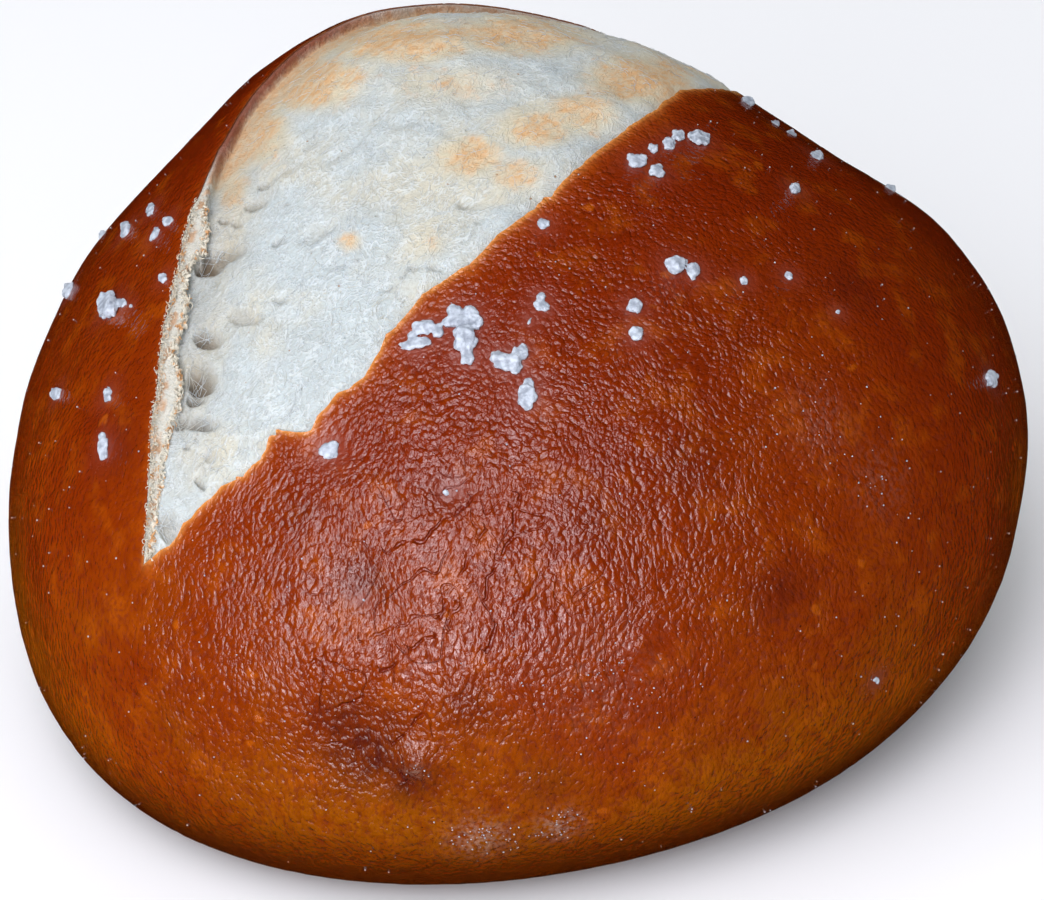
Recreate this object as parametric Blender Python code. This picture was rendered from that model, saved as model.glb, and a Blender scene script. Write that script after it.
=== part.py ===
"""A pretzel roll whose single cut has opened in the oven.

One solid holds the whole roll: the domed body on its flat sole, the crumb that rose in the cut
and the grains of coarse salt baked onto the crust. Everything is in metres with +Z up, the cut
runs along X, and the middle of the sole is the origin.
"""

import math
import random

import bmesh
import bpy
from mathutils import Matrix, Vector, noise
from mathutils.bvhtree import BVHTree

MM = 0.001

# The body before the cut: a dome with its widest ring low down, on a rounded flat sole
LENGTH = 98.0 * MM
WIDTH = 95.7 * MM
HEIGHT = 52.6 * MM
WAIST = 19.6 * MM
TOP_POWER = 2.17
FOOT_POWER = 2.64
UNDERCUT = 1.45
SOLE_EDGE = 3.0 * MM
SOLE_FLATNESS = 0.001 * MM
LEAN = (0.041, -0.128)
OUTLINE_LOBES = {2: (-0.012, 0.030), 3: (-0.032, 0.004)}
# The crown: where the crumb swelled and lifted the top
CROWN_AT = (1.7 * MM, 13.7 * MM)
CROWN_HEIGHT = 9.4 * MM
CROWN_REACH = 29.4 * MM
BODY_CELLS = 26

# Relief of the crust: soft unevenness from proving, and the dips and blisters of this roll,
# each as (x, y, height, radius, depth), where a negative depth stands out
LUMP_SIZE = 21.0 * MM
LUMP_DEPTH = 0.35 * MM
RIPPLE_SIZE = 7.0 * MM
RIPPLE_DEPTH = 0.16 * MM
DIPS = (
    (33.0 * MM, -15.0 * MM, 45.0 * MM, 10.0 * MM, 1.9 * MM),
    (-2.5 * MM, 34.5 * MM, 45.0 * MM, 8.0 * MM, 1.2 * MM),
    (-40.5 * MM, -18.3 * MM, 34.6 * MM, 3.5 * MM, 0.7 * MM),
    (-44.2 * MM, -19.9 * MM, 21.7 * MM, 5.5 * MM, 0.9 * MM),
    (-33.0 * MM, -21.5 * MM, 40.8 * MM, 3.5 * MM, 0.5 * MM),
    (-42.0 * MM, -23.9 * MM, 19.9 * MM, 2.5 * MM, -0.8 * MM),
    (38.0 * MM, 16.0 * MM, 36.0 * MM, 7.0 * MM, 0.7 * MM),
    (14.0 * MM, 43.0 * MM, 28.0 * MM, 6.0 * MM, -0.6 * MM),
)

# The cut: a long leaf outline from tip to tip, with a torn nick in its front lip
CUT_MIDDLE = (-2.0 * MM, 2.6 * MM)
CUT_HALF_LENGTH = 42.9 * MM
FRONT_LIP = 15.7 * MM
BACK_LIP = 18.2 * MM
FRONT_POWERS = (2.55, 0.7)
BACK_POWERS = (1.83, 1.13)
NICK_AT = -35.5 * MM
NICK_STEP = 2.2 * MM
NICK_WIDTH = 0.6 * MM
NICK_REACH = 3.5 * MM
LIP_WOBBLE = 0.5 * MM
LIP_WOBBLE_SIZE = 6.0 * MM
FRONT_WOBBLE_ROW = 3.0
BACK_WOBBLE_ROW = 9.0
# The wobble dies out towards the tips, where the cut is narrower than a third of its width
WOBBLE_GAIN = 3.0
LIP_STEPS = 46
CUT_FLOOR = 23.0 * MM
LIP_CURL = 0.5 * MM
LIP_CURL_REACH = 3.5 * MM

# The crumb in the cut: nearly level with the front lip, and a torn step below the back one
CRUMB_ALONG = 46
CRUMB_ACROSS = 19
CRUMB_OVERLAP = 1.5 * MM
CRUMB_FLOOR = 20.0 * MM
CRUMB_AT_FRONT = -0.8 * MM
CRUMB_AT_BACK = -3.2 * MM
CRUMB_CROWN = 0.5 * MM
CRUMB_EDGE_REACH = 0.26
# The torn step keeps its full depth where the cut is wide, and this share of it at the tips
STEP_GAIN = 2.0
STEP_AT_TIPS = 0.15
CRUMB_LUMP_SIZE = 5.0 * MM
CRUMB_LUMP_DEPTH = 0.45 * MM
LIP_STEP = 0.4 * MM
LIP_SLOPE = 0.25
# Burst gas cells along the torn step, as (x, y, radius, depth)
HOLLOWS = (
    (-10.8 * MM, 16.3 * MM, 2.6 * MM, 1.8 * MM),
    (-24.0 * MM, 11.2 * MM, 2.8 * MM, 2.2 * MM),
    (-30.4 * MM, 6.8 * MM, 2.2 * MM, 1.8 * MM),
    (-33.2 * MM, 5.2 * MM, 2.4 * MM, 2.0 * MM),
    (-36.8 * MM, 3.8 * MM, 2.0 * MM, 1.4 * MM),
    (9.0 * MM, 16.0 * MM, 2.6 * MM, 1.6 * MM),
    (23.0 * MM, 11.0 * MM, 2.2 * MM, 1.4 * MM),
)

# Coarse salt. Each large grain is (x, y, length) as it lies on the crust
SALT_GRAINS = (
    (-24.0 * MM, -12.9 * MM, 3.4 * MM),
    (-21.4 * MM, -15.1 * MM, 3.3 * MM),
    (-23.5 * MM, -16.9 * MM, 3.2 * MM),
    (-22.1 * MM, -20.1 * MM, 3.2 * MM),
    (-23.4 * MM, -23.2 * MM, 2.7 * MM),
    (-16.3 * MM, -19.2 * MM, 1.6 * MM),
    (-10.0 * MM, -15.2 * MM, 1.4 * MM),
    (2.3 * MM, -16.2 * MM, 2.2 * MM),
    (2.8 * MM, -18.3 * MM, 1.6 * MM),
    (7.5 * MM, -16.2 * MM, 2.2 * MM),
    (10.4 * MM, -17.4 * MM, 2.3 * MM),
    (-5.0 * MM, -25.3 * MM, 2.1 * MM),
    (-4.0 * MM, -26.9 * MM, 1.8 * MM),
    (-10.9 * MM, -25.4 * MM, 1.4 * MM),
    (-13.0 * MM, -26.9 * MM, 1.4 * MM),
    (13.1 * MM, -25.6 * MM, 1.3 * MM),
    (22.6 * MM, -14.2 * MM, 1.6 * MM),
    (22.1 * MM, -18.6 * MM, 1.8 * MM),
    (21.3 * MM, -22.7 * MM, 1.6 * MM),
    (26.7 * MM, -27.0 * MM, 1.5 * MM),
    (18.8 * MM, -37.3 * MM, 1.2 * MM),
    (17.3 * MM, -44.0 * MM, 1.8 * MM),
    (-35.5 * MM, -11.1 * MM, 1.7 * MM),
    (-16.8 * MM, 24.5 * MM, 1.6 * MM),
    (-17.5 * MM, 27.1 * MM, 1.7 * MM),
    (-19.8 * MM, 20.8 * MM, 2.0 * MM),
    (-18.8 * MM, 33.6 * MM, 2.3 * MM),
    (-26.7 * MM, 20.9 * MM, 3.2 * MM),
    (-31.9 * MM, 23.7 * MM, 1.6 * MM),
    (-34.7 * MM, 14.7 * MM, 2.0 * MM),
    (-38.5 * MM, 11.9 * MM, 2.4 * MM),
)
# Smaller grains thrown over the far side by a seeded rule, as (x, y, spread, count) of a patch
SALT_PATCHES = (
    (29.0 * MM, 33.0 * MM, 4.5 * MM, 6),
    (20.0 * MM, 41.0 * MM, 3.5 * MM, 4),
    (39.0 * MM, 18.0 * MM, 3.5 * MM, 4),
    (45.0 * MM, 4.0 * MM, 2.5 * MM, 3),
)
PATCH_GRAIN = (1.3 * MM, 2.4 * MM)
GRAIN_WIDTH = (0.62, 0.85)
GRAIN_THICKNESS = (0.5, 0.65)
GRAIN_UNEVENNESS = 0.14
GRAIN_SUNK = 0.32
# A grain longer than this is a clump of three lumps in an uneven row
CLUMP_ABOVE = 2.6 * MM
CLUMP_LUMP = 0.6
CLUMP_SPREAD = 0.24
CLUMP_SWAY = 0.14
SALT_SEED = 11

CRUST_COLOUR = (0.23, 0.055, 0.012, 1.0)
CRUMB_COLOUR = (0.76, 0.74, 0.66, 1.0)
SALT_COLOUR = (0.80, 0.82, 0.84, 1.0)
CRUST_ROUGHNESS = 0.38
CRUMB_ROUGHNESS = 0.9
SALT_ROUGHNESS = 0.55
SMOOTH_BELOW = math.radians(35.0)


def clear_scene():
    for thing in list(bpy.data.objects):
        bpy.data.objects.remove(thing, do_unlink=True)


def new_collection(name):
    collection = bpy.data.collections.new(name)
    bpy.context.scene.collection.children.link(collection)
    return collection


def new_material(name, colour, roughness):
    material = bpy.data.materials.new(name)
    material.use_nodes = True
    shader = material.node_tree.nodes["Principled BSDF"]
    shader.inputs["Base Color"].default_value = colour
    shader.inputs["Roughness"].default_value = roughness
    shader.inputs["Metallic"].default_value = 0.0
    return material


def new_object(name, shape, collection, material):
    """Makes an object from a bmesh and frees the bmesh."""
    mesh = bpy.data.meshes.new(name)
    bmesh.ops.recalc_face_normals(shape, faces=shape.faces)
    shape.to_mesh(mesh)
    shape.free()
    mesh.materials.append(material)
    thing = bpy.data.objects.new(name, mesh)
    collection.objects.link(thing)
    return thing


def spot(distance, radius):
    """1 at the middle of a round spot, falling smoothly to almost nothing at twice its radius."""
    return math.exp(-((distance / radius) ** 2))


def smooth_floor(height):
    """Rounds the body into the flat plane of the sole."""
    blend = min(max(0.5 + 0.5 * height / SOLE_EDGE, 0.0), 1.0)
    return height * blend + SOLE_EDGE * blend * (1.0 - blend)


def lobes(table, azimuth):
    return sum(
        along * math.cos(order * azimuth) + across * math.sin(order * azimuth)
        for order, (along, across) in table.items()
    )


def body_point(direction):
    """The plain body's surface in a unit direction from its middle."""
    azimuth = math.atan2(direction.y, direction.x)
    power = TOP_POWER if direction.z >= 0.0 else FOOT_POWER
    spread = math.hypot(direction.x, direction.y) ** (2.0 / power)
    rise = abs(direction.z) ** (2.0 / power)
    reach = spread * (1.0 + lobes(OUTLINE_LOBES, azimuth))
    if direction.z >= 0.0:
        height = WAIST + (HEIGHT - WAIST) * rise
    else:
        height = smooth_floor(WAIST * (1.0 - UNDERCUT * rise))
    lean = (height - WAIST) / HEIGHT
    x = LENGTH / 2.0 * (reach * math.cos(azimuth) + LEAN[0] * lean)
    y = WIDTH / 2.0 * (reach * math.sin(azimuth) + LEAN[1] * lean)
    above_waist = max(0.0, (height - WAIST) / (HEIGHT - WAIST))
    from_crown = math.hypot(x - CROWN_AT[0], y - CROWN_AT[1])
    return Vector((x, y, height + CROWN_HEIGHT * above_waist * spot(from_crown, CROWN_REACH)))


def lip_offset(x, powers):
    """How far a lip stands from the cut's middle line, from 0 at a tip to 1 at the widest."""
    along = min(abs(x - CUT_MIDDLE[0]) / CUT_HALF_LENGTH, 1.0)
    return (1.0 - along ** powers[0]) ** powers[1]


def lip_lines(x):
    """The y of the front and the back lip at x, with their torn unevenness."""
    front = lip_offset(x, FRONT_POWERS)
    back = lip_offset(x, BACK_POWERS)
    wobble = LIP_WOBBLE * min(1.0, WOBBLE_GAIN * back)
    nick = 0.5 * NICK_STEP * math.tanh((x - NICK_AT) / NICK_WIDTH) * spot(x - NICK_AT, NICK_REACH)
    front_wobble = wobble * noise.noise(Vector((x / LIP_WOBBLE_SIZE, FRONT_WOBBLE_ROW, 0.0)))
    back_wobble = wobble * noise.noise(Vector((x / LIP_WOBBLE_SIZE, BACK_WOBBLE_ROW, 0.0)))
    return (
        CUT_MIDDLE[1] - FRONT_LIP * front + front_wobble - nick,
        CUT_MIDDLE[1] + BACK_LIP * back + back_wobble,
    )


def crust_relief(point):
    """How far the crust stands out of the plain body at a point."""
    lumps = LUMP_DEPTH * noise.noise(point / LUMP_SIZE)
    ripples = RIPPLE_DEPTH * noise.noise(point / RIPPLE_SIZE + Vector((5.0, 5.0, 5.0)))
    relief = lumps + ripples
    for x, y, height, radius, depth in DIPS:
        relief -= depth * spot((point - Vector((x, y, height))).length, radius)
    if point.z > WAIST:
        to_lip = point.y - lip_lines(point.x)[1]
        relief += LIP_CURL * lip_offset(point.x, BACK_POWERS) * spot(to_lip, LIP_CURL_REACH)
    return relief


def make_body(collection, material):
    """The uncut roll: a cube, divided evenly and blown up into the body's form."""
    shape = bmesh.new()
    bmesh.ops.create_cube(shape, size=2.0)
    bmesh.ops.subdivide_edges(shape, edges=shape.edges, cuts=BODY_CELLS - 1, use_grid_fill=True)
    for vert in shape.verts:
        even = Vector(math.tan(side * math.pi / 4.0) for side in vert.co)
        vert.co = body_point(even.normalized())
    low = Vector(min(vert.co[axis] for vert in shape.verts) for axis in range(3))
    high = Vector(max(vert.co[axis] for vert in shape.verts) for axis in range(3))
    middle = (low + high) / 2.0
    bmesh.ops.translate(shape, vec=(-middle.x, -middle.y, 0.0), verts=shape.verts)
    shape.normal_update()
    moves = {}
    for vert in shape.verts:
        off_sole = min(1.0, vert.co.z / WAIST)
        moves[vert] = vert.normal * (crust_relief(vert.co) * off_sole)
    for vert, move in moves.items():
        vert.co += move
    sole = [face for face in shape.faces if all(vert.co.z < SOLE_FLATNESS for vert in face.verts)]
    for vert in {vert for face in sole for vert in face.verts}:
        vert.co.z = 0.0
    bmesh.ops.dissolve_faces(shape, faces=sole, use_verts=True)
    return new_object("pretzel_roll", shape, collection, material)


def leaf_outline():
    """The cut's outline seen from above, as points running along the front lip and back."""
    steps = [math.cos(math.pi * step / LIP_STEPS) for step in range(LIP_STEPS + 1)]
    xs = [CUT_MIDDLE[0] - step * CUT_HALF_LENGTH for step in steps]
    front = [(x, lip_lines(x)[0]) for x in xs[1:-1]]
    back = [(x, lip_lines(x)[1]) for x in xs[1:-1]]
    tips = [(x, CUT_MIDDLE[1]) for x in (xs[0], xs[-1])]
    return [tips[0], *front, tips[1], *reversed(back)]


def make_cutter(collection, material):
    """The leaf-shaped block that opens the crust down to the crumb's bed."""
    shape = bmesh.new()
    rim = [shape.verts.new((x, y, CUT_FLOOR)) for x, y in leaf_outline()]
    floor = shape.faces.new(rim)
    raised = bmesh.ops.extrude_face_region(shape, geom=[floor])["geom"]
    tops = [item for item in raised if isinstance(item, bmesh.types.BMVert)]
    bmesh.ops.translate(shape, vec=(0.0, 0.0, HEIGHT), verts=tops)
    bmesh.ops.triangulate(shape, faces=shape.faces)
    return new_object("cut", shape, collection, material)


def crumb_height(x, across):
    """The crumb's level over or under the crust's, with across from 0 at the front lip to 1."""
    open_width = lip_offset(x, BACK_POWERS)
    at_back = math.exp(-((1.0 - across) / CRUMB_EDGE_REACH) ** 2)
    at_front = math.exp(-(across / CRUMB_EDGE_REACH) ** 2)
    crown = 4.0 * across * (1.0 - across)
    return (
        CRUMB_CROWN * crown * open_width
        + CRUMB_AT_FRONT * at_front
        + CRUMB_AT_BACK * at_back * min(1.0, STEP_GAIN * open_width + STEP_AT_TIPS)
    )


def make_crumb(collection, material, crust_tree):
    """The risen crumb: a leaf-shaped cushion whose top follows the crust it pushed apart."""
    shape = bmesh.new()
    bmesh.ops.create_grid(shape, x_segments=CRUMB_ALONG, y_segments=CRUMB_ACROSS, size=1.0)
    reach = CUT_HALF_LENGTH + CRUMB_OVERLAP
    for vert in shape.verts:
        x = CUT_MIDDLE[0] + reach * math.sin(vert.co.x * math.pi / 2.0)
        front, back = lip_lines(x)
        front -= CRUMB_OVERLAP
        back += CRUMB_OVERLAP
        across = (vert.co.y + 1.0) / 2.0
        y = front + (back - front) * across
        over = crumb_height(x, across)
        over += CRUMB_LUMP_DEPTH * noise.noise(Vector((x, y, 0.0)) / CRUMB_LUMP_SIZE)
        for hollow_x, hollow_y, radius, depth in HOLLOWS:
            over -= depth * spot(math.hypot(x - hollow_x, y - hollow_y), radius)
        from_lip = min(y - front - CRUMB_OVERLAP, back - CRUMB_OVERLAP - y)
        over = min(over, LIP_SLOPE * from_lip - LIP_STEP)
        crust = crust_tree.ray_cast(Vector((x, y, 2.0 * HEIGHT)), Vector((0.0, 0.0, -1.0)))[0]
        vert.co = Vector((x, y, crust.z + over))
    sunk = bmesh.ops.extrude_face_region(shape, geom=shape.faces[:])["geom"]
    for item in sunk:
        if isinstance(item, bmesh.types.BMVert):
            item.co.z = CRUMB_FLOOR
    return new_object("crumb", shape, collection, material)


def make_lump(name, place, facing, length, draw, collection, material):
    """One knobbly crystal, longer than wide, sunk a little into the crust."""
    shape = bmesh.new()
    bmesh.ops.create_icosphere(shape, subdivisions=1, radius=0.5)
    width = length * draw.uniform(*GRAIN_WIDTH)
    thickness = length * draw.uniform(*GRAIN_THICKNESS)
    for vert in shape.verts:
        vert.co *= 1.0 + GRAIN_UNEVENNESS * draw.uniform(-1.0, 1.0)
        vert.co = Vector((vert.co.x * length, vert.co.y * width, vert.co.z * thickness))
    spin = Matrix.Rotation(draw.uniform(0.0, math.pi), 3, "Z")
    turn = facing.to_track_quat("Z", "Y").to_matrix() @ spin
    lift = facing * thickness * (0.5 - GRAIN_SUNK)
    for vert in shape.verts:
        vert.co = turn @ vert.co + place + lift
    return new_object(name, shape, collection, material)


def make_salt(collection, material, crust_tree):
    """Every grain, as one lump or as a clump of three, where it fell on the crust."""
    draw = random.Random(SALT_SEED)
    grains = list(SALT_GRAINS)
    for x, y, spread, count in SALT_PATCHES:
        for _ in range(count):
            angle = draw.uniform(0.0, math.tau)
            distance = spread * math.sqrt(draw.random())
            grains.append((
                x + distance * math.cos(angle),
                y + distance * math.sin(angle),
                draw.uniform(*PATCH_GRAIN),
            ))
    for number, (x, y, length) in enumerate(grains):
        lumps = (-1, 0, 1) if length > CLUMP_ABOVE else (0,)
        row = Matrix.Rotation(draw.uniform(0.0, math.pi), 3, "Z")
        for lump in lumps:
            sway = CLUMP_SWAY * draw.uniform(-1.0, 1.0) * (len(lumps) > 1)
            shift = row @ Vector((CLUMP_SPREAD * lump, sway, 0.0)) * length
            above = Vector((x, y, 2.0 * HEIGHT)) + shift
            place, facing = crust_tree.ray_cast(above, Vector((0.0, 0.0, -1.0)))[:2]
            size = length * (CLUMP_LUMP if len(lumps) > 1 else 1.0)
            make_lump(f"salt_{number}_{lump}", place, facing, size, draw, collection, material)


def boolean(thing, operation, collection):
    step = thing.modifiers.new(operation.title(), "BOOLEAN")
    step.operation = operation
    step.operand_type = "COLLECTION"
    step.collection = collection
    step.solver = "EXACT"
    step.material_mode = "TRANSFER"


def apply_modifiers(thing):
    """Replaces the object's mesh by the evaluated one and takes its modifiers off."""
    evaluated = thing.evaluated_get(bpy.context.evaluated_depsgraph_get())
    mesh = bpy.data.meshes.new_from_object(evaluated)
    mesh.name = thing.name
    thing.modifiers.clear()
    thing.data = mesh


def remove_collection(collection):
    for thing in list(collection.objects):
        bpy.data.objects.remove(thing, do_unlink=True)
    bpy.data.collections.remove(collection)


def finish_mesh(thing):
    """Splits every face into triangles and shades the round parts smooth."""
    shape = bmesh.new()
    shape.from_mesh(thing.data)
    bmesh.ops.triangulate(shape, faces=shape.faces)
    shape.to_mesh(thing.data)
    shape.free()
    thing.data.shade_smooth()
    thing.data.set_sharp_from_angle(angle=SMOOTH_BELOW)


def main():
    clear_scene()
    roll_parts = new_collection("pretzel roll")
    cutters = new_collection("cutters")
    toppings = new_collection("crumb and salt")
    crust = new_material("baked crust", CRUST_COLOUR, CRUST_ROUGHNESS)
    crumb = new_material("open crumb", CRUMB_COLOUR, CRUMB_ROUGHNESS)
    salt = new_material("coarse salt", SALT_COLOUR, SALT_ROUGHNESS)

    roll = make_body(roll_parts, crust)
    surface = bmesh.new()
    surface.from_mesh(roll.data)
    crust_tree = BVHTree.FromBMesh(surface)
    surface.free()
    make_cutter(cutters, crumb)
    make_crumb(toppings, crumb, crust_tree)
    make_salt(toppings, salt, crust_tree)

    boolean(roll, "DIFFERENCE", cutters)
    boolean(roll, "UNION", toppings)
    apply_modifiers(roll)
    remove_collection(cutters)
    remove_collection(toppings)
    finish_mesh(roll)


main()
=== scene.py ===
# %% [markdown]
# # A salted pretzel roll
# The real thing is a ball of wheat dough, proved, dipped in lye, cut once and baked. The lye
# turns the skin dark and glossy, the oven pushes the dough up through the cut, and the cut
# opens to show pale crumb. This lesson dresses the plain solid of that roll in Blender.
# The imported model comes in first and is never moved: every piece below is made around it.

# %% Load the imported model
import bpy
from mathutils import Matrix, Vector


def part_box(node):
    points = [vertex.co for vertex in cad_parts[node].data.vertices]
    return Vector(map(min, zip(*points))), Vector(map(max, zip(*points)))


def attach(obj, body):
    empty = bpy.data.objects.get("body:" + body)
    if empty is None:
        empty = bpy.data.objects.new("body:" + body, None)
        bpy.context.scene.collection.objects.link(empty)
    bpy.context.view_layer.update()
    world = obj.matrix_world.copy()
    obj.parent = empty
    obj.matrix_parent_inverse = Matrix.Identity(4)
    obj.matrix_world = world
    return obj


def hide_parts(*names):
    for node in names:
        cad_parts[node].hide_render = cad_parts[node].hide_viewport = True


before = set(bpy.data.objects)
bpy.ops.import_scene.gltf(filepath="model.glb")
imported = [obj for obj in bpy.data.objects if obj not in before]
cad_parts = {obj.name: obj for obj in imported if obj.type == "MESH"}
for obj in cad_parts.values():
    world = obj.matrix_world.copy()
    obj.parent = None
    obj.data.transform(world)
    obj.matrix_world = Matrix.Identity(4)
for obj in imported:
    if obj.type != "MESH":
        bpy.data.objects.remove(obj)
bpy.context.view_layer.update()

# %% [markdown]
# ## Sizes
# Everything is measured in the roll's own millimetres. One of them is read from the packed
# node, so the dress follows the solid if the solid is scaled. The body's numbers are those of
# a dome with its widest ring low down, leaning a little, with a crown where the crumb swelled.

# %% Sizes of the body
import math
import random

import bmesh
import bpy
import numpy as np
from mathutils import Matrix, Vector, noise
from mathutils.bvhtree import BVHTree

NODE = "pretzel_roll"
ROLL_ALONG_X = 97.1
low_corner, high_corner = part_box(NODE)
MM = (high_corner.x - low_corner.x) / ROLL_ALONG_X

LENGTH, WIDTH, HEIGHT, WAIST = 98.0, 95.7, 52.6, 19.6
TOP_POWER, FOOT_POWER = 2.17, 2.64
UNDERCUT, SOLE_EDGE = 1.45, 3.0
LEAN = (0.041, -0.128)
OUTLINE_LOBES = {2: (-0.012, 0.030), 3: (-0.032, 0.004)}
CROWN_AT, CROWN_HEIGHT, CROWN_REACH = (1.7, 13.7), 9.4, 29.4
print("one millimetre of the roll is", round(MM * 1000.0, 4), "mm")

# %% [markdown]
# ## The cut, seen from above
# A cut opens into a leaf: two lips that run from tip to tip. Each lip is a power curve, the
# front one blunter than the back one. Torn dough never runs smooth, so noise of several sizes
# is laid over both, and the front lip has one nick where the skin gave way in a step.

# %% Lip lines
CUT_MIDDLE = (-2.0, 2.6)
CUT_HALF_LENGTH = 42.9
FRONT_LIP, FRONT_POWERS = 15.7, (2.55, 0.7)
BACK_LIP, BACK_POWERS = 18.2, (1.83, 1.13)
NICK_AT, NICK_STEP, NICK_WIDTH, NICK_REACH = -35.5, 2.2, 0.35, 3.5
LIP_WOBBLES = ((0.5, 6.0), (0.22, 2.6), (0.10, 0.9))


def wave(x, size, row):
    """One line of noise along x, between about -1 and 1."""
    return noise.noise(Vector((x / size, row, 0.0)))


def lip_offset(x, powers):
    """How far a lip stands from the cut's middle line, from 0 at a tip to 1 at the widest."""
    along = min(abs(x - CUT_MIDDLE[0]) / CUT_HALF_LENGTH, 1.0)
    return (1.0 - along ** powers[0]) ** powers[1]


def spot(distance, radius):
    """1 at the middle of a soft spot, almost 0 at twice its radius."""
    return math.exp(-((distance / radius) ** 2))


def ruled_lips(x):
    """The y of the front and the back lip at x, by rule."""
    front, back = lip_offset(x, FRONT_POWERS), lip_offset(x, BACK_POWERS)
    calm = min(1.0, 3.0 * back)
    nick = 0.5 * NICK_STEP * math.tanh((x - NICK_AT) / NICK_WIDTH) * spot(x - NICK_AT, NICK_REACH)
    front_wobble = sum(depth * wave(x, size, 3.0) for depth, size in LIP_WOBBLES)
    back_wobble = sum(depth * wave(x, size, 9.0) for depth, size in LIP_WOBBLES)
    return (
        CUT_MIDDLE[1] - FRONT_LIP * front + calm * front_wobble - nick,
        CUT_MIDDLE[1] + BACK_LIP * back + calm * back_wobble,
    )


print("lips at the middle of the cut", [round(y, 2) for y in ruled_lips(CUT_MIDDLE[0])])

# %% [markdown]
# ## The skin before the cut
# A cube divided evenly and blown up into a ball has cells of nearly one size everywhere, with
# no pinched poles, so it is the best start for a skin that gets fine relief later. Each point
# is moved onto the body by the same rule as in the solid, and the soft lumps, dips and
# blisters of this roll are pushed in along the normals.

# %% The body's surface
BODY_CELLS = 138
LUMP_SIZE, LUMP_DEPTH = 21.0, 0.35
RIPPLE_SIZE, RIPPLE_DEPTH = 7.0, 0.16
LIP_CURL, LIP_CURL_REACH = 0.5, 3.5
SOLE_SNAP = 0.02
# (x, y, height, radius, depth), where a negative depth stands out
DIPS = (
    (33.0, -15.0, 45.0, 10.0, 1.9),
    (-2.5, 34.5, 45.0, 8.0, 1.2),
    (-40.5, -18.3, 34.6, 2.6, 0.7),
    (-44.2, -19.9, 21.7, 5.0, 0.8),
    (-33.0, -21.5, 40.8, 1.8, 0.45),
    (-35.5, -11.1, 42.5, 2.2, 0.35),
    (-42.0, -23.9, 19.9, 1.5, -0.9),
    (-28.0, -37.4, 28.8, 0.9, -0.45),
    (-33.6, -29.3, 34.3, 0.9, -0.35),
    (38.0, 16.0, 36.0, 7.0, 0.7),
    (14.0, 43.0, 28.0, 6.0, -0.6),
)


def body_points(directions):
    """The plain body's surface in each of many unit directions from its middle, in mm."""
    x, y, z = directions.T
    azimuth = np.arctan2(y, x)
    power = np.where(z >= 0.0, TOP_POWER, FOOT_POWER)
    rise = np.abs(z) ** (2.0 / power)
    lobes = sum(
        along * np.cos(order * azimuth) + across * np.sin(order * azimuth)
        for order, (along, across) in OUTLINE_LOBES.items()
    )
    reach = np.hypot(x, y) ** (2.0 / power) * (1.0 + lobes)
    foot = WAIST * (1.0 - UNDERCUT * rise)
    blend = np.clip(0.5 + 0.5 * foot / SOLE_EDGE, 0.0, 1.0)
    foot = foot * blend + SOLE_EDGE * blend * (1.0 - blend)
    height = np.where(z >= 0.0, WAIST + (HEIGHT - WAIST) * rise, foot)
    lean = (height - WAIST) / HEIGHT
    along = LENGTH / 2.0 * (reach * np.cos(azimuth) + LEAN[0] * lean)
    across = WIDTH / 2.0 * (reach * np.sin(azimuth) + LEAN[1] * lean)
    above = np.clip((height - WAIST) / (HEIGHT - WAIST), 0.0, 1.0)
    from_crown = np.hypot(along - CROWN_AT[0], across - CROWN_AT[1])
    height = height + CROWN_HEIGHT * above * np.exp(-((from_crown / CROWN_REACH) ** 2))
    return np.stack([along, across, height], axis=1)


def soft_relief(point):
    """How far the skin stands out of the plain body at a point, in mm."""
    relief = LUMP_DEPTH * noise.noise(point / LUMP_SIZE)
    relief += RIPPLE_DEPTH * noise.noise(point / RIPPLE_SIZE + Vector((5.0, 5.0, 5.0)))
    for x, y, height, radius, depth in DIPS:
        relief -= depth * spot((point - Vector((x, y, height))).length, radius)
    if point.z > WAIST:
        from_lip = point.y - ruled_lips(point.x)[1]
        relief += LIP_CURL * lip_offset(point.x, BACK_POWERS) * spot(from_lip, LIP_CURL_REACH)
    return relief


# %% Build the uncut skin
def read_points(mesh):
    points = np.empty(len(mesh.vertices) * 3)
    mesh.vertices.foreach_get("co", points)
    return points.reshape(-1, 3)


def write_points(mesh, points):
    mesh.vertices.foreach_set("co", points.astype(np.float32).ravel())
    mesh.update()


def new_piece(name, mesh):
    piece = bpy.data.objects.new(name, mesh)
    bpy.context.scene.collection.objects.link(piece)
    return piece


def make_uncut_skin():
    shape = bmesh.new()
    bmesh.ops.create_cube(shape, size=2.0)
    bmesh.ops.subdivide_edges(shape, edges=shape.edges, cuts=BODY_CELLS - 1, use_grid_fill=True)
    mesh = bpy.data.meshes.new("crust")
    shape.to_mesh(mesh)
    shape.free()
    even = np.tan(read_points(mesh) * math.pi / 4.0)
    points = body_points(even / np.linalg.norm(even, axis=1, keepdims=True))
    middle = (points.min(axis=0) + points.max(axis=0)) / 2.0
    points -= middle * (1.0, 1.0, 0.0)
    write_points(mesh, points)
    normals = np.empty(len(points) * 3)
    mesh.vertices.foreach_get("normal", normals)
    push = np.array([soft_relief(Vector(point)) for point in points])
    push *= np.clip(points[:, 2] / WAIST, 0.0, 1.0)
    points += normals.reshape(-1, 3) * push[:, None]
    points[points[:, 2] < SOLE_SNAP, 2] = 0.0
    write_points(mesh, points)
    return mesh


def dissolve_sole(mesh):
    """Makes the flat sole one face: nothing on it needs more."""
    shape = bmesh.new()
    shape.from_mesh(mesh)
    sole = [face for face in shape.faces if all(vert.co.z == 0.0 for vert in face.verts)]
    bmesh.ops.dissolve_faces(shape, faces=sole, use_verts=True)
    shape.to_mesh(mesh)
    shape.free()


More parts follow.
